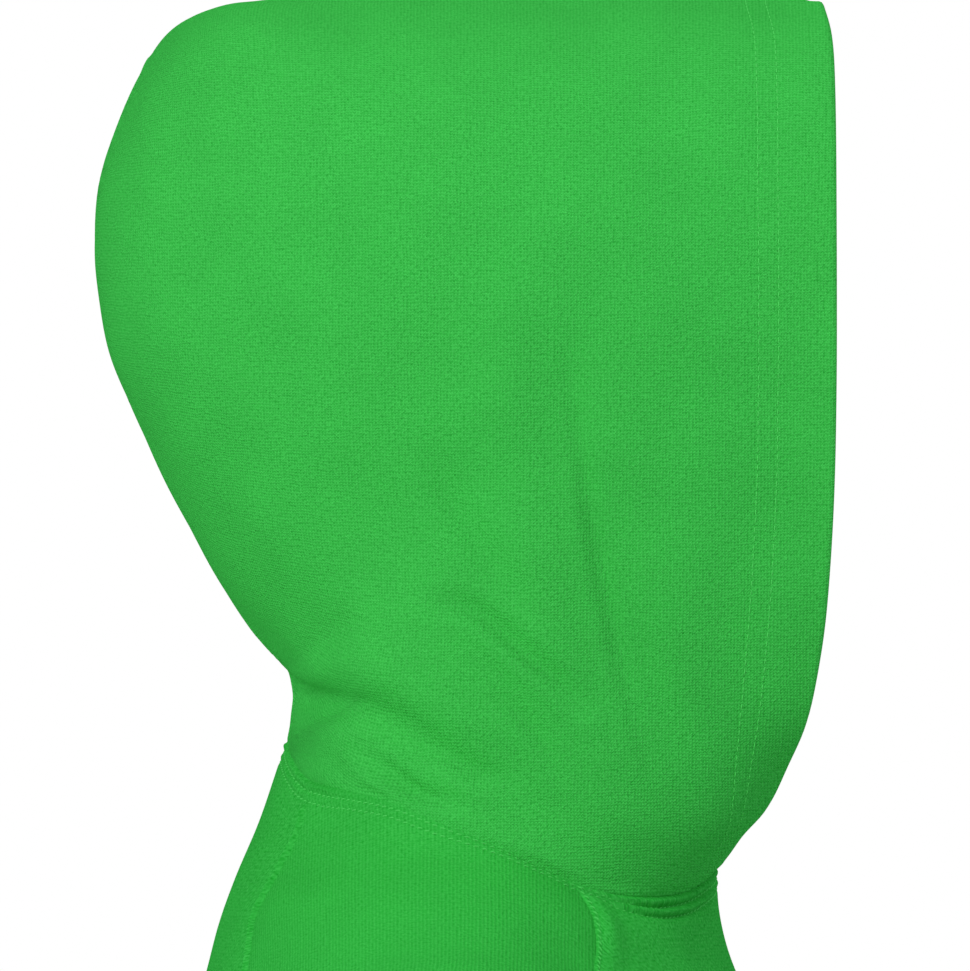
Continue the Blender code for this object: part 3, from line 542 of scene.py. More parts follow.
def trunk_reach(p):
    """How far each point lies outside the trunk's section at its own height."""
    z = p[..., 2]
    half_width = read_table(TRUNK, HALF_WIDTH, z)
    middle = read_table(TRUNK, MIDDLE, z)
    y = p[..., 1] - middle
    behind = y > 0
    depth = np.where(behind, read_table(TRUNK, BACK, z) - middle, middle - read_table(TRUNK, FRONT, z))
    power = np.where(behind, read_table(TRUNK, BACK_POWER, z), read_table(TRUNK, FRONT_POWER, z)) / MM
    size = ((np.abs(p[..., 0]) / half_width) ** power + (np.abs(y) / depth) ** power) ** (1 / power)
    size = np.maximum(size, LEAST_SIZE)
    return np.hypot(p[..., 0], y) * (1 - 1 / size)


def trunk_distance(p):
    """Distance from the trunk's form."""
    slope = np.linalg.norm(gradient(trunk_reach, p), axis=-1)
    return trunk_reach(p) / np.maximum(slope, LEAST_SLOPE)


def arm_distance(p):
    """Distance from the form of the arm on the point's own side."""
    p = np.stack((-np.abs(p[..., 0]), p[..., 1], p[..., 2]), axis=-1)
    best = np.full(p.shape[:-1], np.inf)
    for a, b in zip(ARM_LINE, ARM_LINE[1:]):
        run = b[:3] - a[:3]
        t = np.clip((p - a[:3]) @ run / (run @ run), 0.0, 1.0)
        gap = np.linalg.norm(p - a[:3] - t[..., None] * run, axis=-1) - (a[3] + t * (b[3] - a[3]))
        best = np.minimum(best, gap)
    return best


def form_distance(p):
    """Distance from the trunk and arms, joined with a soft hollow at each armpit."""
    trunk = trunk_distance(p)
    arm = arm_distance(p)
    share = np.clip(0.5 + 0.5 * (arm - trunk) / ARMPIT_BLEND, 0.0, 1.0)
    return arm * (1 - share) + trunk * share - ARMPIT_BLEND * share * (1 - share)


def settle(p):
    """The points, moved onto the form by the shortest way."""
    for _ in range(SETTLE_STEPS):
        slope = gradient(form_distance, p)
        length = np.maximum(np.sum(slope * slope, axis=-1), LEAST_SLOPE**2)
        move = slope * (form_distance(p) / length)[..., None]
        size = np.linalg.norm(move, axis=-1, keepdims=True)
        p = p - move * np.minimum(1.0, LONGEST_MOVE / np.maximum(size, TINY))
    return p


def underarm_point():
    """The lowest point where the right sleeve and the trunk meet."""
    x = np.linspace(*UNDERARM_X, UNDERARM_POINTS)
    high, low = UNDERARM_Z
    for _ in range(HALVINGS):
        z = 0.5 * (high + low)
        line = np.stack((x, np.full_like(x, UNDERARM_Y), np.full_like(x, z)), axis=-1)
        if form_distance(line).max() < 0:
            high = z
        else:
            low = z
    return line[np.argmax(form_distance(line))]


# --- Coarse grids of the right half ---
def neck_line():
    """The neck seam, from centre back to centre front."""
    return table_line(NECK_SEAM, CURVE_STEPS + 1)


def neck_rows():
    """The neck seam's points at the back, sleeve and front, from centre back to centre front."""
    line = neck_line()
    back_end = round(CURVE_STEPS * BACK_RAGLAN_AT)
    front_start = round(CURVE_STEPS * FRONT_RAGLAN_AT)
    return (
        evenly(line[: back_end + 1], BACK_CELLS + 1),
        evenly(line[back_end : front_start + 1], SLEEVE_CELLS + 1),
        evenly(line[front_start:], FRONT_CELLS + 1),
    )


def seam_to_underarm(start, table, underarm):
    """A seam from the neck to the underarm, on the form below the neck."""
    points = np.vstack((start[None], np.array(table) * MM, underarm[None]))
    line = smooth_line(points, RAGLAN_CELLS + 1)
    settled = settle(line)
    settled[-1] = underarm
    fade = seam_fade(np.linspace(0.0, 1.0, len(line)))[:, None]
    return evenly(settled + (line[0] - settled[0]) * fade, YOKE_ROWS + 1)


def seam_fade(t):
    """1 at the neck seam, falling softly to 0 below it."""
    return np.clip(1 - t / NECK_FADE, 0.0, 1.0) ** 2


def section_y(x, z, side):
    """Where the trunk's level section is at x, in front (side -1) or behind (side 1)."""
    half_width = read_table(TRUNK, HALF_WIDTH, z)
    middle = read_table(TRUNK, MIDDLE, z)
    far = read_table(TRUNK, BACK if side > 0 else FRONT, z) - middle
    power = read_table(TRUNK, BACK_POWER if side > 0 else FRONT_POWER, z) / MM
    share = np.minimum(np.abs(x) / half_width, 1.0)
    return middle + far * (1 - share**power) ** (1 / power)


def rows_across(centre_z, ends, side, cells):
    """Rows of the front or back, each from its centre line to its own point of a seam."""
    turn = np.sin(np.linspace(0.0, math.pi / 2, DENSE))[None, :]
    x = ends[:, :1] * turn
    z = centre_z[:, None] + (ends[:, 2:] - centre_z[:, None]) * turn
    y = section_y(x, z, side)
    y = y + (ends[:, 1:2] - y[:, -1:]) * turn**END_PULL
    lines = settle(np.stack((x, y, z), axis=-1))
    lines[:, -1] = ends
    return np.array([evenly(line, cells + 1) for line in lines])


def arc_through(start, top, end, cells):
    """A circular arc of cells from start over top to end."""
    u, v = top - start, end - start
    normal = np.cross(u, v)
    centre = start + (np.dot(v, v) * np.cross(normal, u) + np.dot(u, u) * np.cross(v, normal)) / (
        2 * np.dot(normal, normal)
    )
    e1 = unit(start - centre)
    e2 = unit(np.cross(normal, e1))
    radius = np.linalg.norm(start - centre)
    reach = math.atan2(np.dot(end - centre, e2), np.dot(end - centre, e1)) % (2 * math.pi)
    angle = np.linspace(0.0, reach, cells + 1)[:, None]
    return centre + radius * (np.cos(angle) * e1 + np.sin(angle) * e2)


def round_arm(centre, axis, radius, angle):
    """Points round the arm, at angles from its inner side by the back."""
    inward = unit(np.array([1.0, 0.0, 0.0]) - axis * axis[0])
    backward = unit(np.cross(axis, inward))
    if backward[1] < 0:
        backward = -backward
    angle = np.asarray(angle)[..., None]
    return centre + radius * (np.cos(angle) * inward + np.sin(angle) * backward)


def ring_round(centre, axis, radius, cells):
    """A ring across the arm that starts and ends at its inner side, going round by the back."""
    return round_arm(centre, axis, radius, np.linspace(0.0, 2 * math.pi, cells + 1))


def arm_frames(underarm):
    """Centres, directions and radii of the rings from the underarm to the cuff."""
    line = table_line(ARM, CURVE_STEPS + 1)
    axis = unit(np.gradient(line[:, :3], axis=0))
    level = np.sum((line[:, :3] - underarm) * axis, axis=1)
    first = int(np.argmin(np.abs(level)))
    spaced = evenly(line[first:], ARM_ROWS + 1)
    axes = unit(np.gradient(spaced[:, :3], axis=0))
    axes[-1] = CUFF_AXIS
    return spaced[:, :3], axes, spaced[:, 3]


def yoke_rows(neck, seam, side, levels, fades):
    """Rows of the front or back above the underarm."""
    centre_z = neck[0, 2] + (seam[-1, 2] - neck[0, 2]) * levels
    rows = rows_across(centre_z, seam, side, len(neck) - 1)
    return rows + (neck - rows[0])[None] * fades[:, None, None]


def trunk_rows(levels, side):
    """Rows of the front or back below the underarm, from the centre line to the side seam."""
    cells = BACK_CELLS if side > 0 else FRONT_CELLS
    turn = np.linspace(0.0, math.pi / 2, DENSE)[None, :]
    z = levels[:, None] + 0.0 * turn
    x = -read_table(TRUNK, HALF_WIDTH, z) * np.sin(turn)
    lines = settle(np.stack((x, section_y(x, z, side), z), axis=-1))
    lines[..., 2] = z
    return np.array([evenly(line, cells + 1) for line in lines])


def body_grids():
    """Coarse points of the right half: back, front and sleeve, each row from the neck down."""
    underarm = underarm_point()
    neck_back, neck_sleeve, neck_front = neck_rows()
    back_seam = seam_to_underarm(neck_sleeve[0], BACK_RAGLAN, underarm)
    front_seam = seam_to_underarm(neck_sleeve[-1], FRONT_RAGLAN, underarm)
    centres, axes, radii = arm_frames(underarm)
    rings = [ring_round(*each, SLEEVE_CELLS) for each in zip(centres, axes, radii)]
    middle = SLEEVE_CELLS // 2
    top_points = (neck_sleeve[middle], *(np.array(SHOULDER_LINE) * MM), rings[0][middle])
    top = smooth_line(top_points, YOKE_ROWS + 1)

    levels = np.linspace(0.0, 1.0, YOKE_ROWS + 1)
    fades = seam_fade(levels)
    back = yoke_rows(neck_back, back_seam, 1, levels, fades)
    front = yoke_rows(neck_front[::-1], front_seam, -1, levels, fades)
    trunk_levels = np.linspace(underarm[2], TRUNK_END, TRUNK_ROWS + 1)[1:]
    back = np.concatenate((back, trunk_rows(trunk_levels, 1)))
    front = np.concatenate((front, trunk_rows(trunk_levels, -1)))

    arcs = [arc_through(back_seam[i], top[i], front_seam[i], SLEEVE_CELLS) for i in range(YOKE_ROWS)]
    sleeve = settle(np.array(arcs))
    sleeve = sleeve + (neck_sleeve - sleeve[0])[None] * fades[:YOKE_ROWS, None, None]
    sleeve[:, 0] = back_seam[:YOKE_ROWS]
    sleeve[:, -1] = front_seam[:YOKE_ROWS]
    tube = settle(np.array(rings))
    tube[0, 0] = underarm
    tube[0, -1] = underarm
    tube[-1] = rings[-1]
    return back, front, np.concatenate((sleeve, tube))


# --- Hood ---
@functools.cache
def seam_reach():
    """Turns round the head's centre, how far off the centre seam is, and the same with its corner soft."""
    seam = table_line(HOOD_SEAM, CURVE_STEPS)
    seam = np.vstack((seam[0] - np.array([0.0, BELOW_NECK]), seam)) - HEAD_CENTRE
    turns = np.arctan2(seam[:, 0], seam[:, 1])
    order = np.argsort(turns)
    even = np.linspace(turns.min(), turns.max(), SEAM_TURNS)
    reach = np.interp(even, turns[order], np.hypot(*seam.T)[order])
    half = round(SEAM_SOFT_TURN / (even[1] - even[0]))
    shares = np.hanning(2 * half + 3)[1:-1]
    soft = np.convolve(np.pad(reach, half, mode="edge"), shares / shares.sum(), mode="valid")
    return even, reach, soft


def hood_half_width(y, z):
    """Half width of the head form under the hood at a place seen from the side."""
    ahead, up = HEAD_CENTRE
    y_back = np.maximum(y, ahead) - ahead
    turn = np.arctan2(y_back, z - up)
    away = np.hypot(y_back, z - up)
    even, sharp, soft = seam_reach()
    sharp = np.interp(turn, even, sharp)
    soft = np.interp(turn, even, soft)
    reach = soft + (sharp - soft) * smoothstep((away / sharp - SEAM_SHARP_FROM) / (1 - SEAM_SHARP_FROM))
    share = np.clip(away / reach, 0.0, 1.0)
    width = read_table(HOOD_WIDTH, 1, z)
    width = width - HOOD_FRONT_NARROWING * smoothstep((HOOD_NARROWS_FROM - y) / HOOD_NARROWS_OVER)
    power = np.maximum(2 * reach * HEAD_TIP_RADIUS / width**2, HEAD_POWERS[0])
    beyond = np.clip(0.5 + (power - HEAD_POWERS[1]) / POWER_BLEND, 0.0, 1.0)
    power = power * (1 - beyond) + HEAD_POWERS[1] * beyond - POWER_BLEND / 2 * beyond * (1 - beyond)
    return width * np.sqrt(1 - share**power)


def hood_grid(rows_at, cols_at):
    """Points of the right hood half at shares of its rows, from the neck up, and columns, from its front."""
    shares = np.linspace(0.0, 1.0, CURVE_STEPS + 1)
    seam = table_line(HOOD_SEAM, CURVE_STEPS + 1)
    corner = round(CURVE_STEPS * HOOD_CORNER_AT)
    up = np.sin(rows_at**HOOD_ROW_POWER * math.pi / 2)
    neck = read_line(neck_line()[::-1], shares, cols_at)
    back = read_line(evenly(seam[: corner + 1], CURVE_STEPS + 1), shares, rows_at)
    top = read_line(evenly(seam[corner:][::-1], CURVE_STEPS + 1), shares, cols_at)
    front = read_line(table_line(HOOD_FRONT, CURVE_STEPS + 1), shares, up)

    a = np.sin(cols_at * math.pi / 2)[None, :, None]
    b = up[:, None, None]
    side = (
        (1 - b) * neck[None, :, 1:] + b * top[None] + (1 - a) * front[:, None] + a * back[:, None]
        - (1 - a) * (1 - b) * neck[0, 1:] - a * (1 - b) * neck[-1, 1:]
        - (1 - a) * b * top[0] - a * b * top[-1]
    )
    y, z = side[..., 0], side[..., 1]
    rise = 1 - (1 - np.minimum(b[..., 0] / NECK_BLEND, 1.0)) ** 3
    x = -(hood_half_width(y, z) * rise + np.abs(neck[None, :, 0]) * (1 - rise))
    x[-1] = 0.0
    x[:, -1] = 0.0
    return np.stack((x, y, z), axis=-1)


def hood_flat(points):
    """Where each point of the hood lies on its flat cloth: its way back from the front edge and up."""
    y = np.arange(*HOOD_FLAT_Y, HOOD_FLAT_STEP)
    z = np.arange(*HOOD_FLAT_Z, HOOD_FLAT_STEP)
    width = hood_half_width(y[None, :] + 0 * z[:, None], z[:, None] + 0 * y[None, :])
    read = []
    for axis in (1, 0):
        slope = np.minimum(np.abs(np.gradient(width, HOOD_FLAT_STEP, axis=axis)), STEEPEST_FLAT)
        way = np.cumsum(np.hypot(1.0, slope), axis=axis) * HOOD_FLAT_STEP
        start = round((HOOD_MIDDLE[1 - axis] - (z[0], y[0])[axis]) / HOOD_FLAT_STEP)
        way = way - np.take(way, [start], axis=axis)
        col = np.clip((points[..., 1] - y[0]) / HOOD_FLAT_STEP, 0, len(y) - LAST_CELL)
        row = np.clip((points[..., 2] - z[0]) / HOOD_FLAT_STEP, 0, len(z) - LAST_CELL)
        i, j = row.astype(int), col.astype(int)
        s, t = row - i, col - j
        read.append(
            (way[i, j] * (1 - t) + way[i, j + 1] * t) * (1 - s)
            + (way[i + 1, j] * (1 - t) + way[i + 1, j + 1] * t) * s
        )
    return np.stack(read, axis=-1)


# --- Working on a grid ---
def spread(length, step, at_start=True):
    """Shares of a length from 0 to 1, an even number of steps, finer near a seam at its end or both ends."""
    places = [0.0]
    while places[-1] < length:
        edge = min(places[-1] if at_start else length, length - places[-1])
        places.append(places[-1] + SEAM_STEP + (step - SEAM_STEP) * smoothstep(edge / SEAM_REACH - 1))
    if len(places) % 2 == 0:
        places.append(places[-1] + step)
    return np.array(places) / places[-1]


def normals_of(grid, inside):
    """Outward unit normals of a grid that lies round a point or points inside it."""
    normal = unit(np.cross(np.gradient(grid, axis=0), np.gradient(grid, axis=1)))
    return normal if np.sum(normal * (grid - inside)) > 0 else -normal


def along_rows(grid):
    """Distance of each point from the start of its row, along the row."""
    steps = np.linalg.norm(np.diff(grid, axis=1), axis=-1)
    return np.concatenate((np.zeros((len(grid), 1)), np.cumsum(steps, axis=1)), axis=1)


def close_to(points, line, reach):
    """Which points are in the line's box, grown by reach."""
    return np.all((points > line.min(axis=0) - reach) & (points < line.max(axis=0) + reach), axis=-1)


def gap_to(points, line):
    """Distance of each point from a line, measured only where it is close."""
    length = np.linalg.norm(np.diff(line, axis=0), axis=1).sum()
    line = evenly(line, int(length / LINE_STEP) + 2)
    gap = np.full(points.shape[:-1], FAR)
    near = close_to(points, line, FAR)
    parts = np.array_split(points[near], CHUNKS)
    found = [np.linalg.norm(part[:, None] - line[None], axis=-1).min(axis=1) for part in parts]
    gap[near] = np.minimum(np.concatenate(found), FAR)
    return gap


def pressed(places, normal, folds):
    """Height that folds give at each place: troughs with a roll of cloth on either side."""
    move = np.zeros(places.shape[:-1])
    for depth, width, left, right, line in folds:
        near = close_to(places, line, (ROLL_AT + ROLL_END * ROLL_WIDTH) * width)
        offset = places[near][:, None] - line[None]
        gap = np.linalg.norm(offset, axis=-1)
        nearest = gap.argmin(axis=1)
        offset = offset[np.arange(len(offset)), nearest]
        rightward = np.cross(np.gradient(line, axis=0)[nearest], normal[near])
        across = gap.min(axis=1) / width
        is_right = smoothstep(0.5 + np.sum(unit(rightward) * offset, axis=-1) / width)
        taper = np.sin(np.pi * (FOLD_END + (1 - 2 * FOLD_END) * nearest / (len(line) - 1)))
        roll = (left + (right - left) * is_right) * bell(across, ROLL_AT, ROLL_WIDTH)
        move[near] += depth * taper * (roll - bell(across, 0.0, 1.0))
    return move


def strayed(folds, seed):
    """The folds, each a little different."""
    rng = np.random.default_rng(seed)
    changed = []
    for depth, width, *side, points in folds:
        points = np.array(points) + rng.uniform(-LEFT_STRAY, LEFT_STRAY, (len(points), 2))
        changed.append((depth * (1 + rng.uniform(-1, 1) * LEFT_DEPTH_CHANGE), width, *side, points))
    return changed


def hood_fold_lines(folds):
    """The hood's folds in metres, laid flat on the plane that they are seen on."""
    lines = []
    for depth, width, left, right, points in folds:
        lines.append((depth * MM, width * MM, left, right, table_line(points, DENSE) @ SIDE_PLANE))
    return lines


def trunk_fold_lines(folds, side):
    """The folds of the front (side -1) or back (side 1), as lines on it."""
    lines = []
    for depth, width, on_side, points in folds:
        if on_side == side:
            x, z = table_line(points, DENSE).T
            path = np.stack((x, section_y(x, z, side), z), axis=-1)
            lines.append((depth * MM, width * MM, ROLL, ROLL, path))
    return lines


def arm_fold_lines(folds):
    """The folds of a sleeve, as lines on it."""
    centre = table_line(ARM, CURVE_STEPS + 1)
    axes = unit(np.gradient(centre[:, :3], axis=0))
    along = along_rows(centre[None, :, :3])[0]
    lines = []
    for depth, width, points in folds:
        spots = []
        for distance, degrees in smooth_line(np.array(points) * np.array([MM, 1.0]), DENSE):
            i = int(np.argmin(np.abs(along - distance)))
            spots.append(round_arm(centre[i, :3], axes[i], centre[i, 3], math.radians(degrees)))
        lines.append((depth * MM, width * MM, ROLL, ROLL, np.array(spots)))
    return lines


def ripple(places, longest, size, seed):
    """Soft uneven height over places, for the unevenness of cloth."""
    rng = np.random.default_rng(seed)
    total = np.zeros(places.shape[:-1])
    for _ in range(RIPPLES):
        direction = unit(rng.normal(size=places.shape[-1]))
        length = longest * rng.uniform(RIPPLE_SHORTEST, 1.0)
        total += np.sin(places @ direction * (2 * math.pi / length) + rng.uniform(0, 2 * math.pi))
    return total * size / math.sqrt(RIPPLES / 2)


def bell(distance, at, width):
    """A soft bump of height 1 at a distance."""
    return np.exp(-(((distance - at) / width) ** 2))


def hump(distance, start, end):
    """A soft roll of height 1 between two distances."""
    return np.sin(np.pi * np.clip((distance - start) / (end - start), 0.0, 1.0)) ** 2


def at_neck_seam(gap, y):
    """Height that both sides of the neck seam share: a swell with a ditch along its middle."""
    swell = read_table(NECK_PROFILE, SWELL, y) * bell(gap, 0.0, SWELL_WIDTH)
    return swell - read_table(NECK_PROFILE, DITCH, y) * bell(gap, 0.0, DITCH_WIDTH)


def neck_relief(gap, y):
    """Height of the twin-needle rows below the neck seam."""
    columns = (FIRST_ROW, SECOND_ROW, BESIDE, BETWEEN, ROW_GROOVE)
    first, second, beside, between, depth = (read_table(NECK_PROFILE, column, y) for column in columns)
    relief = beside * hump(gap, 0.0, first) + between * hump(gap, first, second)
    relief -= depth * (bell(gap, first, GROOVE_WIDTH) + bell(gap, second, GROOVE_WIDTH))
    return relief + at_neck_seam(gap, y)


def seam_relief(gap, ridge, width, ditch):
    """Height beside a plain seam: a ditch, and a ridge over its turned-in edges."""
    return ridge * hump(gap, 0.0, width) - ditch * bell(gap, 0.0, DITCH_WIDTH)


def contour(grid, normal, field, level):
    """Points and normals where a field that grows along each row first reaches a level."""
    points = []
    directions = []
    for row, directed, values in zip(grid, normal, field):
        if values[0] > level or values[-1] < level:
            continue
        j = int(np.argmax(values >= level))
        t = (level - values[j - 1]) / max(values[j] - values[j - 1], TINY)
        points.append(row[j - 1] * (1 - t) + row[j] * t)
        directions.append(directed[j - 1] * (1 - t) + directed[j] * t)
    return np.array(points), unit(np.array(directions))


# --- Meshes ---
def put_in_scene(name, data):
    """A new object in the scene."""
    made = bpy.data.objects.new(name, data)
    bpy.context.scene.collection.objects.link(made)
    return made


def add_object(name, points, faces, finish, flat=None):
    """A shown piece that rides on the body."""
    mesh = bpy.data.meshes.new(name)
    mesh.from_pydata(points.tolist(), [], faces)
    mesh.materials.append(finish)
    mesh.shade_smooth()
    mesh.set_sharp_from_angle(angle=SHARP)
    if flat is not None:
        layer = mesh.attributes.new("flat", "FLOAT_VECTOR", "POINT")
        place = np.zeros((len(points), 3), np.float32)
        place[:, :2] = flat
        layer.data.foreach_set("vector", place.ravel())
    made = put_in_scene(name, mesh)
    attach(made, "root")
    return made


def quads(numbers):
    """Faces between neighbouring rows and columns of point numbers."""
    corners = (numbers[:-1, :-1], numbers[:-1, 1:], numbers[1:, 1:], numbers[1:, :-1])
    return np.stack(corners, axis=-1).reshape(-1, 4).tolist()


def bridge(fine, coarse):
    """Faces between a line of point numbers and one with half as many steps."""
    corners = (fine[:-1:2], fine[1::2], fine[2::2], coarse[1:], coarse[:-1])
    return np.stack(corners, axis=-1).tolist()


def turned(faces):
    """The faces, facing the other way."""
    return [face[::-1] for face in faces]


def apart(grid):
    """The grid, with its border drawn in by half the gap between pieces."""
    grid = grid.copy()
    columns = ((grid[:, 0], grid[:, 1]), (grid[:, -1], grid[:, -2]))
    rows = ((grid[0], grid[1]), (grid[-1], grid[-2]))
    for line, neighbour in columns + rows:
        line += unit(neighbour - line) * SEAM_GAP / 2
    return grid


def shell(name, grid, normal, thickness, flat, finish, round_front=False):
    """A closed thin wall under a grid, with a rounded rim along its first column if asked."""
    outer = apart(grid)
    thickness = np.broadcast_to(thickness, grid.shape[:-1])[..., None]
    inner = (outer - normal * thickness)[::2, ::2]
    top = np.arange(outer[..., 0].size).reshape(outer.shape[:2])
    under = top.size + np.arange(inner[..., 0].size).reshape(inner.shape[:2])
    points = [outer.reshape(-1, 3), inner.reshape(-1, 3)]
    flats = [flat.reshape(-1, 2), flat[::2, ::2].reshape(-1, 2)]
    faces = quads(top) + turned(quads(under))
    faces += turned(bridge(top[0], under[0])) + bridge(top[-1], under[-1])
    faces += turned(bridge(top[:, -1], under[:, -1]))
    strips = [top[:, 0]]
    if round_front:
        outward = unit(outer[:, 0] - outer[:, 1])
        half = thickness[:, 0] / 2
        middle = outer[:, 0] - normal[:, 0] * half
        for k in range(1, RIM_STEPS):
            angle = math.pi * k / RIM_STEPS
            points.append(middle + half * (normal[:, 0] * math.cos(angle) + outward * math.sin(angle)))
            flats.append(flat[:, 0] - half * np.array([angle, 0.0]))
            strips.append(sum(len(p) for p in points[:-1]) + np.arange(len(outer)))
        faces += quads(np.array(strips).T[:, ::-1])
        faces.append([under[0, 0], *(strip[0] for strip in strips)])
        faces.append([under[-1, 0], *(strip[-1] for strip in strips)][::-1])
    faces += bridge(strips[-1], under[:, 0])
    first = np.cross(grid[0, 1] - grid[0, 0], grid[1, 1] - grid[0, 0])
    if np.dot(first, normal[0, 0]) < 0:
        faces = turned(faces)
    faces = [[int(n) for n in face] for face in faces]
    return add_object(name, np.concatenate(points), faces, finish, np.concatenate(flats))


def stitch_row(points, normals, slant=0.0):
    """Places, directions, sides and normals of the stitches along a line."""
    along = distances(points)
    wanted = np.arange(STITCH_PITCH / 2, along[-1] - STITCH_PITCH / 2, STITCH_PITCH)
    joined = np.concatenate((points, normals, np.gradient(points, along, axis=0)), axis=1)
    read = read_line(joined, along, wanted)
    normal = unit(read[:, 3:6])
    tangent = unit(read[:, 6:])
    side = np.cross(normal, tangent)
    direction = tangent * math.cos(slant) + side * math.sin(slant)
    return read[:, :3], direction, np.cross(normal, direction), normal


def stitches(name, rows, finish):
    """Small rounded stitches, raised at their middle and sunk at their ends."""
    places, directions, sides, normals = (np.concatenate(parts) for parts in zip(*rows))
    run = np.array(STITCH_RINGS)[None, :, None, None]
    size = np.sqrt(1 - (STITCH_TAPER * run) ** 2)
    angle = np.linspace(0.0, 2 * math.pi, STITCH_SIDES, endpoint=False)[None, None, :, None]
    centre = places[:, None, None] + directions[:, None, None] * run * STITCH_LENGTH / 2
    centre = centre + normals[:, None, None] * THREAD * (STITCH_RISE - STITCH_SINK * run**2)
    ring = sides[:, None, None] * np.cos(angle) + normals[:, None, None] * np.sin(angle)
    points = (centre + ring * size * THREAD / 2).reshape(-1, 3)
    numbers = np.arange(len(points)).reshape(len(places), len(STITCH_RINGS), STITCH_SIDES)
    after = np.roll(numbers, -1, axis=2)
    sides_of = (numbers[:, :-1], after[:, :-1], after[:, 1:], numbers[:, 1:])
    faces = np.stack(sides_of, axis=-1).reshape(-1, 4).tolist()
    faces += numbers[:, 0, ::-1].tolist() + numbers[:, -1].tolist()
    return add_object(name, points, faces, finish)


def rib_band(name, profile, ribs, finish, flip):
    """A closed band of ribs. The profile gives rings: points, outward directions, relief share, way down."""
    around = ribs * RIB_STEPS
    across = np.arange(around) * (WALE * RIB_WALES / RIB_STEPS)
    wave = np.cos(np.arange(around) * (2 * math.pi / RIB_STEPS))
    relief = RIB_RELIEF * (0.5 + 0.5 * wave) ** RIB_POWER
    points = []
    flats = []
    for ring, outward, share, down in profile:
        points.append(ring + outward * (relief * share)[:, None])
        flats.append(np.stack((across, np.full(around, down)), axis=-1))
    numbers = np.arange(len(profile) * around).reshape(len(profile), around)
    numbers = np.vstack((numbers, numbers[:1]))
    numbers = np.hstack((numbers, numbers[:, :1]))
    faces = quads(numbers)
    faces = turned(faces) if flip else faces
    return add_object(name, np.concatenate(points), faces, finish, np.concatenate(flats))


def band_profile(ring_at, height):
    """Rings down the outside of a band, round its folded edge and up its inside."""
    profile = []
    half = RIB_CLOTH / 2
    outer_end = height - half
    for share in np.linspace(0.0, 1.0, BAND_ROWS):
        ring, outward, axis = ring_at(share * outer_end)
        fade = smoothstep(share * outer_end / RIB_FADE)
        fade *= smoothstep((1 - share) * outer_end / RIB_FADE + RIB_EDGE_SHARE)
        profile.append((ring, outward, RIB_SEAM_SHARE + (1 - RIB_SEAM_SHARE) * fade, share * outer_end))
    ring, outward, axis = ring_at(outer_end)
    for k in range(1, RIM_STEPS):
        angle = math.pi * k / RIM_STEPS
        bend = ring - outward * half * (1 - math.cos(angle)) + axis * half * math.sin(angle)
        profile.append((bend, outward, RIB_BEND_SHARE * (1 - k / RIM_STEPS), outer_end + half * angle))
    for share in np.linspace(1.0, 0.0, BAND_ROWS // 2):
        ring, outward, axis = ring_at(share * outer_end)
        profile.append((ring - outward * RIB_CLOTH, outward, 0.0, outer_end * (2 - share) + math.pi * half))
    return profile


def trunk_ring(z, count):
    """A closed level ring of the trunk at z, and its centre."""
    turn = np.linspace(0.0, math.pi / 2, CURVE_STEPS)
    x = -read_table(TRUNK, HALF_WIDTH, z) * np.sin(turn)
    level = np.full_like(x, z)
    back = np.stack((x, section_y(x, level, 1), level), axis=-1)
    front = np.stack((x, section_y(x, level, -1), level), axis=-1)
    half = np.vstack((back, front[::-1][1:]))
    ring = np.vstack((half, mirrored(half)[::-1][1:]))
    return evenly(ring, count + 1)[:-1], np.array([0.0, read_table(TRUNK, MIDDLE, z), z])


def waist_ring_at(down):
    """Ring, outward directions and axis of the waistband at a way down from its top."""
    shape, centre = trunk_ring(TRUNK_END, WAIST_RIBS * RIB_STEPS)
    drawn_in = np.interp(down / WAIST_HEIGHT, *zip(*WAIST_SHAPE))
    ring = centre + (shape - centre) * (1 - drawn_in)
    along = np.roll(ring, -1, axis=0) - np.roll(ring, 1, axis=0)
    outward = unit(np.cross(along, np.array([0.0, 0.0, 1.0])))
    outward *= np.sign(np.sum(outward * (ring - centre), axis=1, keepdims=True))
    return ring + np.array([0.0, 0.0, -SEAM_GAP - down]), outward, np.array([0.0, 0.0, -1.0])


def cuff_ring_at(down):
    """Ring, outward directions and axis of the right cuff at a way down from its top."""
    centre = CUFF_START + CUFF_AXIS * (SEAM_GAP + down)
    radius = CUFF_START_RADIUS + (CUFF_END_RADIUS - CUFF_START_RADIUS) * smoothstep(down / CUFF_LENGTH)
    ring = ring_round(centre, CUFF_AXIS, radius, CUFF_RIBS * RIB_STEPS)[:-1]
    return ring, unit(ring - centre), CUFF_AXIS


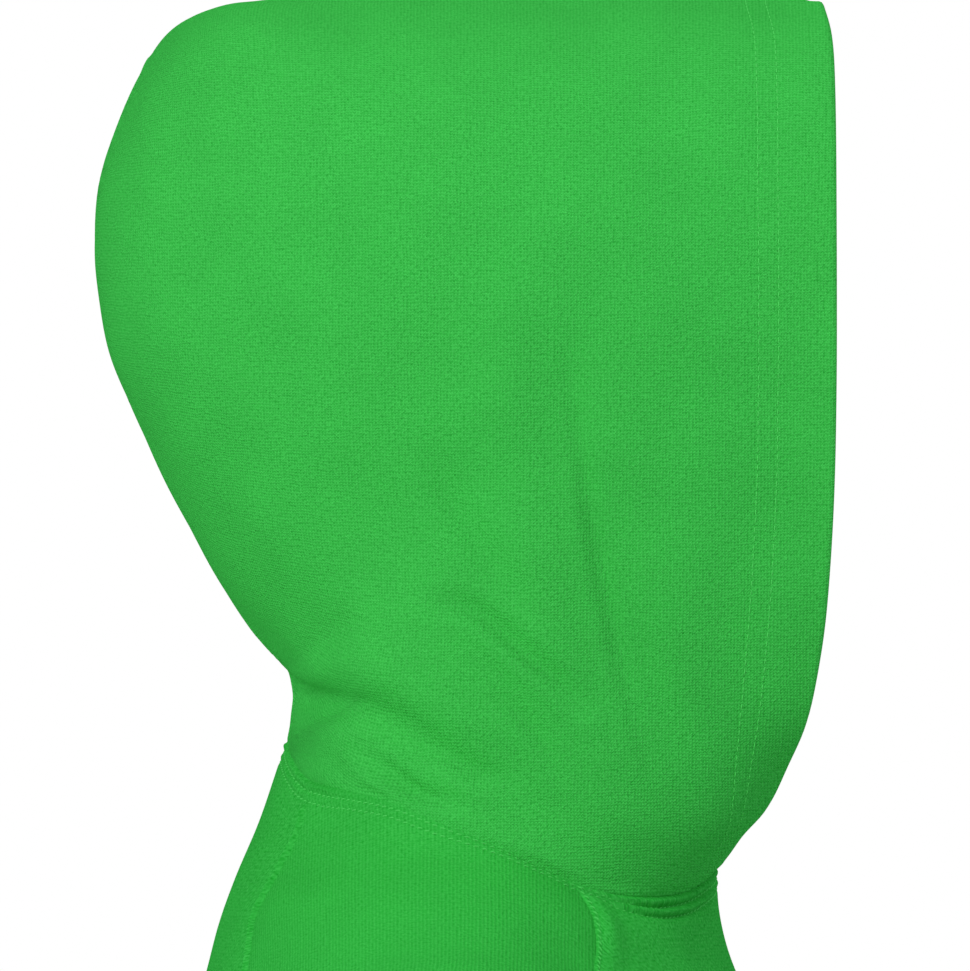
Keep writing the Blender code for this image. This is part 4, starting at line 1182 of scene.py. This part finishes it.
# --- Finishes ---
class Nodes:
    """A material's nodes, made and linked with few words."""

    def __init__(self, name):
        self.finish = bpy.data.materials.new(name)
        self.finish.use_nodes = True
        self.tree = self.finish.node_tree
        self.shader = self.tree.nodes["Principled BSDF"]

    def put(self, socket, value):
        """Link or set one input."""
        if isinstance(value, bpy.types.NodeSocket):
            self.tree.links.new(value, socket)
        else:
            socket.default_value = value

    def node(self, kind, inputs, **settings):
        """A node with its inputs linked or set, by name or number."""
        made = self.tree.nodes.new(kind)
        for key, value in settings.items():
            setattr(made, key, value)
        for key, value in inputs.items():
            self.put(made.inputs[key], value)
        return made

    def math(self, operation, *values):
        """The result of a math node."""
        return self.node("ShaderNodeMath", dict(enumerate(values)), operation=operation).outputs[0]

    def vector(self, operation, *values):
        """The result of a vector math node."""
        return self.node("ShaderNodeVectorMath", dict(enumerate(values)), operation=operation).outputs[0]

    def noise(self, where, scale, detail):
        """Noise around 0.5 at a scale."""
        return self.node("ShaderNodeTexNoise", {"Vector": where, "Scale": scale, "Detail": detail})

    def surface(self, values):
        """The finish, with its shader's inputs linked or set."""
        for key, value in values.items():
            self.put(self.shader.inputs[key], value)
        return self.finish


def knit(name, colour, shaded_green, wale, loops, wandering):
    """Jersey with its wales and courses, a little fuzz and uneven dye, with painted shade: a darker green in
    the knit's hollows.
    """
    n = Nodes(name)
    flat = n.node("ShaderNodeAttribute", {}, attribute_name="flat").outputs["Vector"]
    drift = n.vector("SUBTRACT", n.noise(flat, *DRIFT_NOISE).outputs["Color"], (0.5, 0.5, 0.5))
    place = n.vector("ADD", flat, n.vector("MULTIPLY", drift, wandering))
    split = n.node("ShaderNodeSeparateXYZ", {0: place})
    across = n.math("FRACT", n.math("DIVIDE", split.outputs["X"], wale))
    leg = n.math("ABSOLUTE", n.math("SUBTRACT", across, 0.5))
    course = n.math("ADD", n.math("DIVIDE", split.outputs["Y"], COURSE), n.math("MULTIPLY", leg, LOOP_LEAN))
    wale_height, loop_height, fuzz_height, light = loops
    loop = n.math("MULTIPLY", n.math("COSINE", n.math("MULTIPLY", course, 2 * math.pi)), loop_height)
    height = n.math("MULTIPLY_ADD", n.math("COSINE", n.math("MULTIPLY", leg, 2 * math.pi)), wale_height, loop)
    fuzz = n.math("SUBTRACT", n.noise(flat, *FUZZ_NOISE).outputs["Fac"], 0.5)
    height = n.math("MULTIPLY_ADD", fuzz, fuzz_height, height)
    dye = n.math("MULTIPLY_ADD", n.noise(flat, *DYE_NOISE).outputs["Fac"], DYE_CHANGE, -DYE_CHANGE / 2)
    # Painted shade: the lower the knit, the nearer its colour is to the darker green.
    shade = n.math("MULTIPLY_ADD", height, 1 / TONE_SPAN, light)
    tone = n.node("ShaderNodeMix", {"Factor": shade, 6: shaded_green, 7: colour}, data_type="RGBA").outputs[2]
    bright = n.math("ADD", dye, 1.0)
    tone = n.node("ShaderNodeVectorMath", {0: tone, "Scale": bright}, operation="SCALE").outputs[0]
    bump = n.node("ShaderNodeBump", {"Strength": 1.0, "Distance": KNIT_HEIGHT, "Height": height}).outputs[0]
    return n.surface({
        "Base Color": tone,
        "Normal": bump,
        "Roughness": CLOTH_ROUGHNESS,
        "Specular IOR Level": CLOTH_SPECULAR,
    })


def thread_finish():
    """Smooth sewing thread."""
    return Nodes("thread").surface({
        "Base Color": THREAD_GREEN,
        "Roughness": THREAD_ROUGHNESS,
        "Specular IOR Level": CLOTH_SPECULAR,
    })


# --- The pieces ---
SIDES = (("right", np.array), ("left", mirrored))


def declare(nodes):
    """Hides the imported parts that a piece of cloth stands in for."""
    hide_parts(*nodes)


def neck_normals(normal, grid, gap):
    """Normals, turned near the neck seam to what both of its sides share."""
    shared = unit(grid * np.array([1.0, 1.0, 0.0])) * NECK_OUT + np.array([0.0, 0.0, NECK_UP])
    share = (1 - smoothstep(gap / NECK_TURN))[..., None]
    return unit(normal * (1 - share) + unit(shared) * share)


def seam_normals(normal, grid, seam, gap):
    """Normals, turned near the hood's centre seam to what both halves share."""
    line = seam @ SIDE_PLANE
    along = np.gradient(line, axis=0)
    outward = unit(np.stack((0.0 * along[:, 0], -along[:, 2], along[:, 1]), axis=-1))
    outward *= np.sign(np.sum(outward * (line - np.array(HOOD_INSIDE)), axis=1, keepdims=True))
    near = gap < SEAM_TURN
    nearest = [np.linalg.norm(p - line, axis=1).argmin() for p in grid[near]]
    share = (1 - smoothstep(gap[near] / SEAM_TURN))[:, None]
    normal = normal.copy()
    normal[near] = unit(normal[near] * (1 - share) + outward[nearest] * share)
    return normal


def make_hood(side, turn, folds, cloth, thread):
    """One half of the hood with its hem stitches."""
    rows_at = spread(HOOD_TALL, HOOD_STEP)
    cols = HOOD_HEM_REACH / HOOD_DEEP
    hem = np.linspace(0.0, cols, round(HOOD_HEM_REACH / HEM_STEP) + 1)[:-1]
    rest = cols + (1 - cols) * spread(HOOD_DEEP - HOOD_HEM_REACH, HOOD_STEP, at_start=False)
    cols_at = np.concatenate((hem, rest))
    if len(cols_at) % 2 == 0:
        cols_at = np.delete(cols_at, len(hem) + len(rest) // 2)
    grid = hood_grid(rows_at, cols_at)
    flat = hood_flat(grid)
    normal = normals_of(grid, np.array(HOOD_INSIDE))
    neck_gap = gap_to(grid, neck_line())
    seam = table_line(HOOD_SEAM, CURVE_STEPS + 1)
    seam_gap = gap_to(grid, np.concatenate((np.zeros((len(seam), 1)), seam), axis=1))
    edge_gap = gap_to(grid, grid[:, 0])
    normal = seam_normals(normal, grid, seam, seam_gap)
    normal = neck_normals(normal, grid, neck_gap)

    free = smoothstep(neck_gap / HOOD_CLEAR)
    outward = np.broadcast_to(np.array([-1.0, 0.0, 0.0]), grid.shape)
    on_side = grid * np.array([0.0, 1.0, 1.0])
    move = pressed(on_side, outward, hood_fold_lines(folds)) * free * smoothstep(seam_gap / FOLD_CLEAR)
    notch = pressed(on_side, outward, hood_fold_lines(NOTCH_FOLD)) * free
    move += notch * (NOTCH_AT_SEAM + (1 - NOTCH_AT_SEAM) * smoothstep(seam_gap / FAR))
    uneven = ripple(turn(grid), RIPPLE_LENGTH, RIPPLE_SIZE, HOOD_RIPPLE_SEED)
    move += uneven * free * smoothstep(seam_gap / HOOD_CLEAR)
    move += seam_relief(seam_gap, HOOD_SEAM_RIDGE, HOOD_SEAM_RIDGE_WIDTH, DITCH_DEPTH)
    move += at_neck_seam(neck_gap, grid[..., 1])
    for row in HEM_ROWS:
        move -= HEM_GROOVE * bell(edge_gap, row, GROOVE_WIDTH)
    move += HEM_GROOVE * HEM_ROLL * hump(edge_gap, 0.0, HEM_ROWS[0])
    points = turn(grid + normal * move[..., None])
    normal = turn(normal)
    plain = smoothstep(0.5 + (edge_gap - HOOD_HEM_WIDTH) / HOOD_HEM_STEP)
    thickness = HOOD_HEM_CLOTH + (CLOTH - HOOD_HEM_CLOTH) * plain
    name = "hood_" + side
    piece = shell(name + "_cloth", points, normal, thickness, flat, cloth, round_front=True)
    rows = [stitch_row(*contour(points, normal, edge_gap, row)) for row in HEM_ROWS]
    hem_thread = stitches(name + "_stitches", rows, thread)
    declare([name])


def cloth_flat(grid, normal, centre, grain):
    """Where a grid's points lie on flat cloth whose wales run along the grain, from one of its columns."""
    wales = unit(grain - np.sum(normal * grain, axis=-1, keepdims=True) * normal)
    wales = unit(wales[:, 1:] + wales[:, :-1])
    steps = np.diff(grid, axis=1)
    down = np.sum(steps * wales, axis=-1)
    across = np.linalg.norm(steps - down[..., None] * wales, axis=-1)
    moved = np.cumsum(np.stack((across, down), axis=-1), axis=1)
    placed = np.concatenate((np.zeros((len(grid), 1, 2)), moved), axis=1)
    placed = placed - placed[:, centre : centre + 1]
    placed[..., 1] += along_rows(grid[None, :, centre])[0][:, None]
    return placed


def sleeve_flat(grid, normal, centre):
    """Where the sleeve's points lie on flat cloth: by the neck its wales run out over the shoulder."""
    placed = cloth_flat(grid, normal, centre, SLEEVE_GRAIN)
    wide = np.sin(np.pi / 2 * SHOULDER_TURN)
    share = np.clip((grid[..., 1] - UNDERARM_Y) / SHOULDER_RADIUS, -1.0, 1.0)
    way = np.sign(grid[0, -1, 1] - grid[0, 0, 1])
    over = way * SHOULDER_RADIUS * np.arcsin(share * wide) / wide
    tube = smoothstep((placed[:, centre, 1] / SHOULDER_LONG - TUBE_FROM) / (1 - TUBE_FROM))[:, None]
    placed[..., 0] = over * (1 - tube) + placed[..., 0] * tube
    return placed


def make_body(sleeve_cloth, panel_cloth, thread):
    """Front, back and sleeves with the stitches of their seams."""
    coarse = dict(zip(("back", "front", "sleeve"), body_grids()))
    neck = neck_line()
    stitch_rows = []
    pieces = {}
    for label in ("back", "front", "sleeve"):
        grid = coarse[label]
        on_sleeve = label == "sleeve"
        wide = SLEEVE_WIDE if on_sleeve else BODY_WIDE
        rows_at = spread(BODY_LONG, BODY_STEP) * (len(grid) - 1)
        cols_at = spread(wide, BODY_STEP, at_start=on_sleeve) * (grid.shape[1] - 1)
        grid = resampled(grid, rows_at, cols_at)
        inside = grid.mean(axis=1, keepdims=True) if on_sleeve else grid * np.array([0.0, 0.0, 1.0])
        normal = normals_of(grid, inside)
        neck_gap = gap_to(grid, neck)
        normal = neck_normals(normal, grid, neck_gap)
        side_gap = gap_to(grid, grid[:, -1])
        if on_sleeve:
            side_gap = np.minimum(side_gap, gap_to(grid, grid[:, 0]))
            flat = sleeve_flat(grid, normal, grid.shape[1] // 2)
        else:
            normal[:, 0, 0] = 0.0
            normal = unit(normal)
            flat = cloth_flat(grid, normal, 0, BODY_GRAIN)
        end_gap = gap_to(grid, grid[-1])
        free = smoothstep(neck_gap / FOLD_CLEAR) * smoothstep(side_gap / FOLD_CLEAR)
        free *= smoothstep(end_gap / FOLD_CLEAR)
        y = grid[..., 1]
        relief = neck_relief(neck_gap, y)
        neck_sewing = [read_table(NECK_PROFILE, row, y) for row in (FIRST_ROW, SECOND_ROW)]
        below_rows = smoothstep((neck_gap - neck_sewing[1]) / ROWS_CLEAR)
        ridge = {"back": BACK_RIDGE, "front": FRONT_RIDGE, "sleeve": (0.0, DITCH_WIDTH, BACK_RIDGE[2])}[label]
        relief += seam_relief(side_gap, *ridge) * below_rows
        relief -= DITCH_DEPTH * bell(end_gap, 0.0, DITCH_WIDTH)
        halves = {}
        for side, turn in SIDES:
            if on_sleeve:
                folds = ARM_FOLDS if side == "right" else strayed(ARM_FOLDS, ARM_STRAY_SEED)
                lines = arm_fold_lines(folds)
            else:
                folds = TRUNK_FOLDS if side == "right" else strayed(TRUNK_FOLDS, TRUNK_STRAY_SEED)
                lines = trunk_fold_lines(folds, 1 if label == "back" else -1)
            loose = pressed(grid, normal, lines)
            loose += ripple(turn(grid), BODY_RIPPLE_LENGTH, RIPPLE_SIZE, BODY_RIPPLE_SEED)
            points = turn(grid + normal * (relief + loose * free)[..., None])
            directed = turn(normal)
            halves[side] = (points, directed)
            columns = (points.transpose(1, 0, 2), directed.transpose(1, 0, 2))
            for row in neck_sewing:
                stitch_rows.append(stitch_row(*contour(*columns, (neck_gap - row).T, 0.0), slant=NECK_SLANT))
            if label == "front":
                flipped = (points[:, ::-1], directed[:, ::-1], side_gap[:, ::-1])
                stitch_rows.append(stitch_row(*contour(*flipped, RAGLAN_ROW), slant=RAGLAN_SLANT))
        if on_sleeve:
            for side, half in halves.items():
                name = "sleeve_" + side
                pieces[name] = shell(name + "_cloth", *half, CLOTH, flat, sleeve_cloth)
        else:
            joined = zip(halves["right"], halves["left"])
            whole = [np.concatenate((right[:, ::-1], left[:, 1:]), axis=1) for right, left in joined]
            both = np.concatenate((flat[:, ::-1] * np.array([-1.0, 1.0]), flat[:, 1:]), axis=1)
            pieces[label] = shell(label + "_cloth", *whole, CLOTH, both, panel_cloth)
    sewing = stitches("body_stitches", stitch_rows, thread)
    for name, piece in pieces.items():
        declare([name])


def make_ribs(rib):
    """Waistband and cuffs."""
    profile = band_profile(waist_ring_at, WAIST_HEIGHT)
    band = rib_band("waistband_cloth", profile, WAIST_RIBS, rib, flip=False)
    declare(["waistband"])
    profile = band_profile(cuff_ring_at, CUFF_LENGTH)
    for side, turn in SIDES:
        rings = [(turn(ring), turn(outward), *rest) for ring, outward, *rest in profile]
        cuff = rib_band("cuff_" + side + "_cloth", rings, CUFF_RIBS, rib, flip=side == "left")
        declare(["cuff_" + side])


# --- Studio ---
def softbox(name, place, target, size, power):
    """A large soft lamp aimed at a point."""
    lamp = bpy.data.lights.new(name, "AREA")
    lamp.shape = "RECTANGLE"
    lamp.size, lamp.size_y = size
    lamp.energy = power
    made = put_in_scene(name, lamp)
    made.location = place
    made.rotation_euler = (Vector(target) - Vector(place)).to_track_quat("-Z", "Y").to_euler()


def make_studio():
    """Floor, light and camera."""
    turn = np.linspace(0.0, 2 * math.pi, FLOOR_SIDES, endpoint=False)
    disc = [(FLOOR_RADIUS * math.cos(a), FLOOR_RADIUS * math.sin(a), FLOOR_HEIGHT) for a in turn]
    mesh = bpy.data.meshes.new("floor")
    mesh.from_pydata(disc, [], [list(range(FLOOR_SIDES))])
    pale = {"Base Color": FLOOR_COLOUR, "Roughness": FLOOR_ROUGHNESS}
    mesh.materials.append(Nodes("pale floor").surface(pale))
    floor = put_in_scene("floor", mesh)

    world = bpy.data.worlds.new("studio")
    bpy.context.scene.world = world
    world.use_nodes = True
    tree = world.node_tree
    background = tree.nodes["Background"]
    background.inputs["Color"].default_value = WORLD_COLOUR
    path = tree.nodes.new("ShaderNodeLightPath")
    strength = tree.nodes.new("ShaderNodeMapRange")
    strength.inputs["To Min"].default_value = WORLD_LIGHT
    strength.inputs["To Max"].default_value = WORLD_SEEN
    tree.links.new(path.outputs["Is Camera Ray"], strength.inputs["Value"])
    tree.links.new(strength.outputs[0], background.inputs["Strength"])
    for lamp in SOFTBOXES:
        softbox(*lamp)
    bpy.context.scene.view_settings.view_transform = "Standard"

    camera = bpy.data.cameras.new("camera")
    camera.sensor_width = SENSOR
    camera.lens = SENSOR * CAMERA_DISTANCE / (PIXEL * max(FRAME_WIDTH, FRAME_HEIGHT))
    camera.clip_end = CAMERA_REACH
    made = put_in_scene("camera", camera)
    y = (ORIGIN_PIXEL[0] - FRAME_WIDTH / 2) * PIXEL
    z = (ORIGIN_PIXEL[1] - FRAME_HEIGHT / 2) * PIXEL
    made.location = (-CAMERA_DISTANCE, y, z)
    made.rotation_euler = (math.pi / 2, 0.0, -math.pi / 2)
    bpy.context.scene.camera = made


hood_finish = knit("sweatshirt knit", CLOTH_GREEN, CLOTH_SHADED_GREEN, WALE, HOOD_LOOPS, HOOD_DRIFT)
# The sleeves and panels are darker than the hood by painted shade.
sleeve_finish = knit("sleeve knit", CLOTH_GREEN, CLOTH_SHADED_GREEN, BODY_WALE, SLEEVE_LOOPS, BODY_DRIFT)
panel_finish = knit("panel knit", CLOTH_GREEN, CLOTH_SHADED_GREEN, BODY_WALE, PANEL_LOOPS, BODY_DRIFT)
rib_finish = knit("rib knit", RIB_GREEN, RIB_SHADED_GREEN, WALE, RIB_LOOPS, BODY_DRIFT)
sewing_finish = thread_finish()
make_hood("right", np.array, HOOD_FOLDS_RIGHT, hood_finish, sewing_finish)
make_hood("left", mirrored, HOOD_FOLDS_LEFT, hood_finish, sewing_finish)
make_body(sleeve_finish, panel_finish, sewing_finish)
make_ribs(rib_finish)
make_studio()
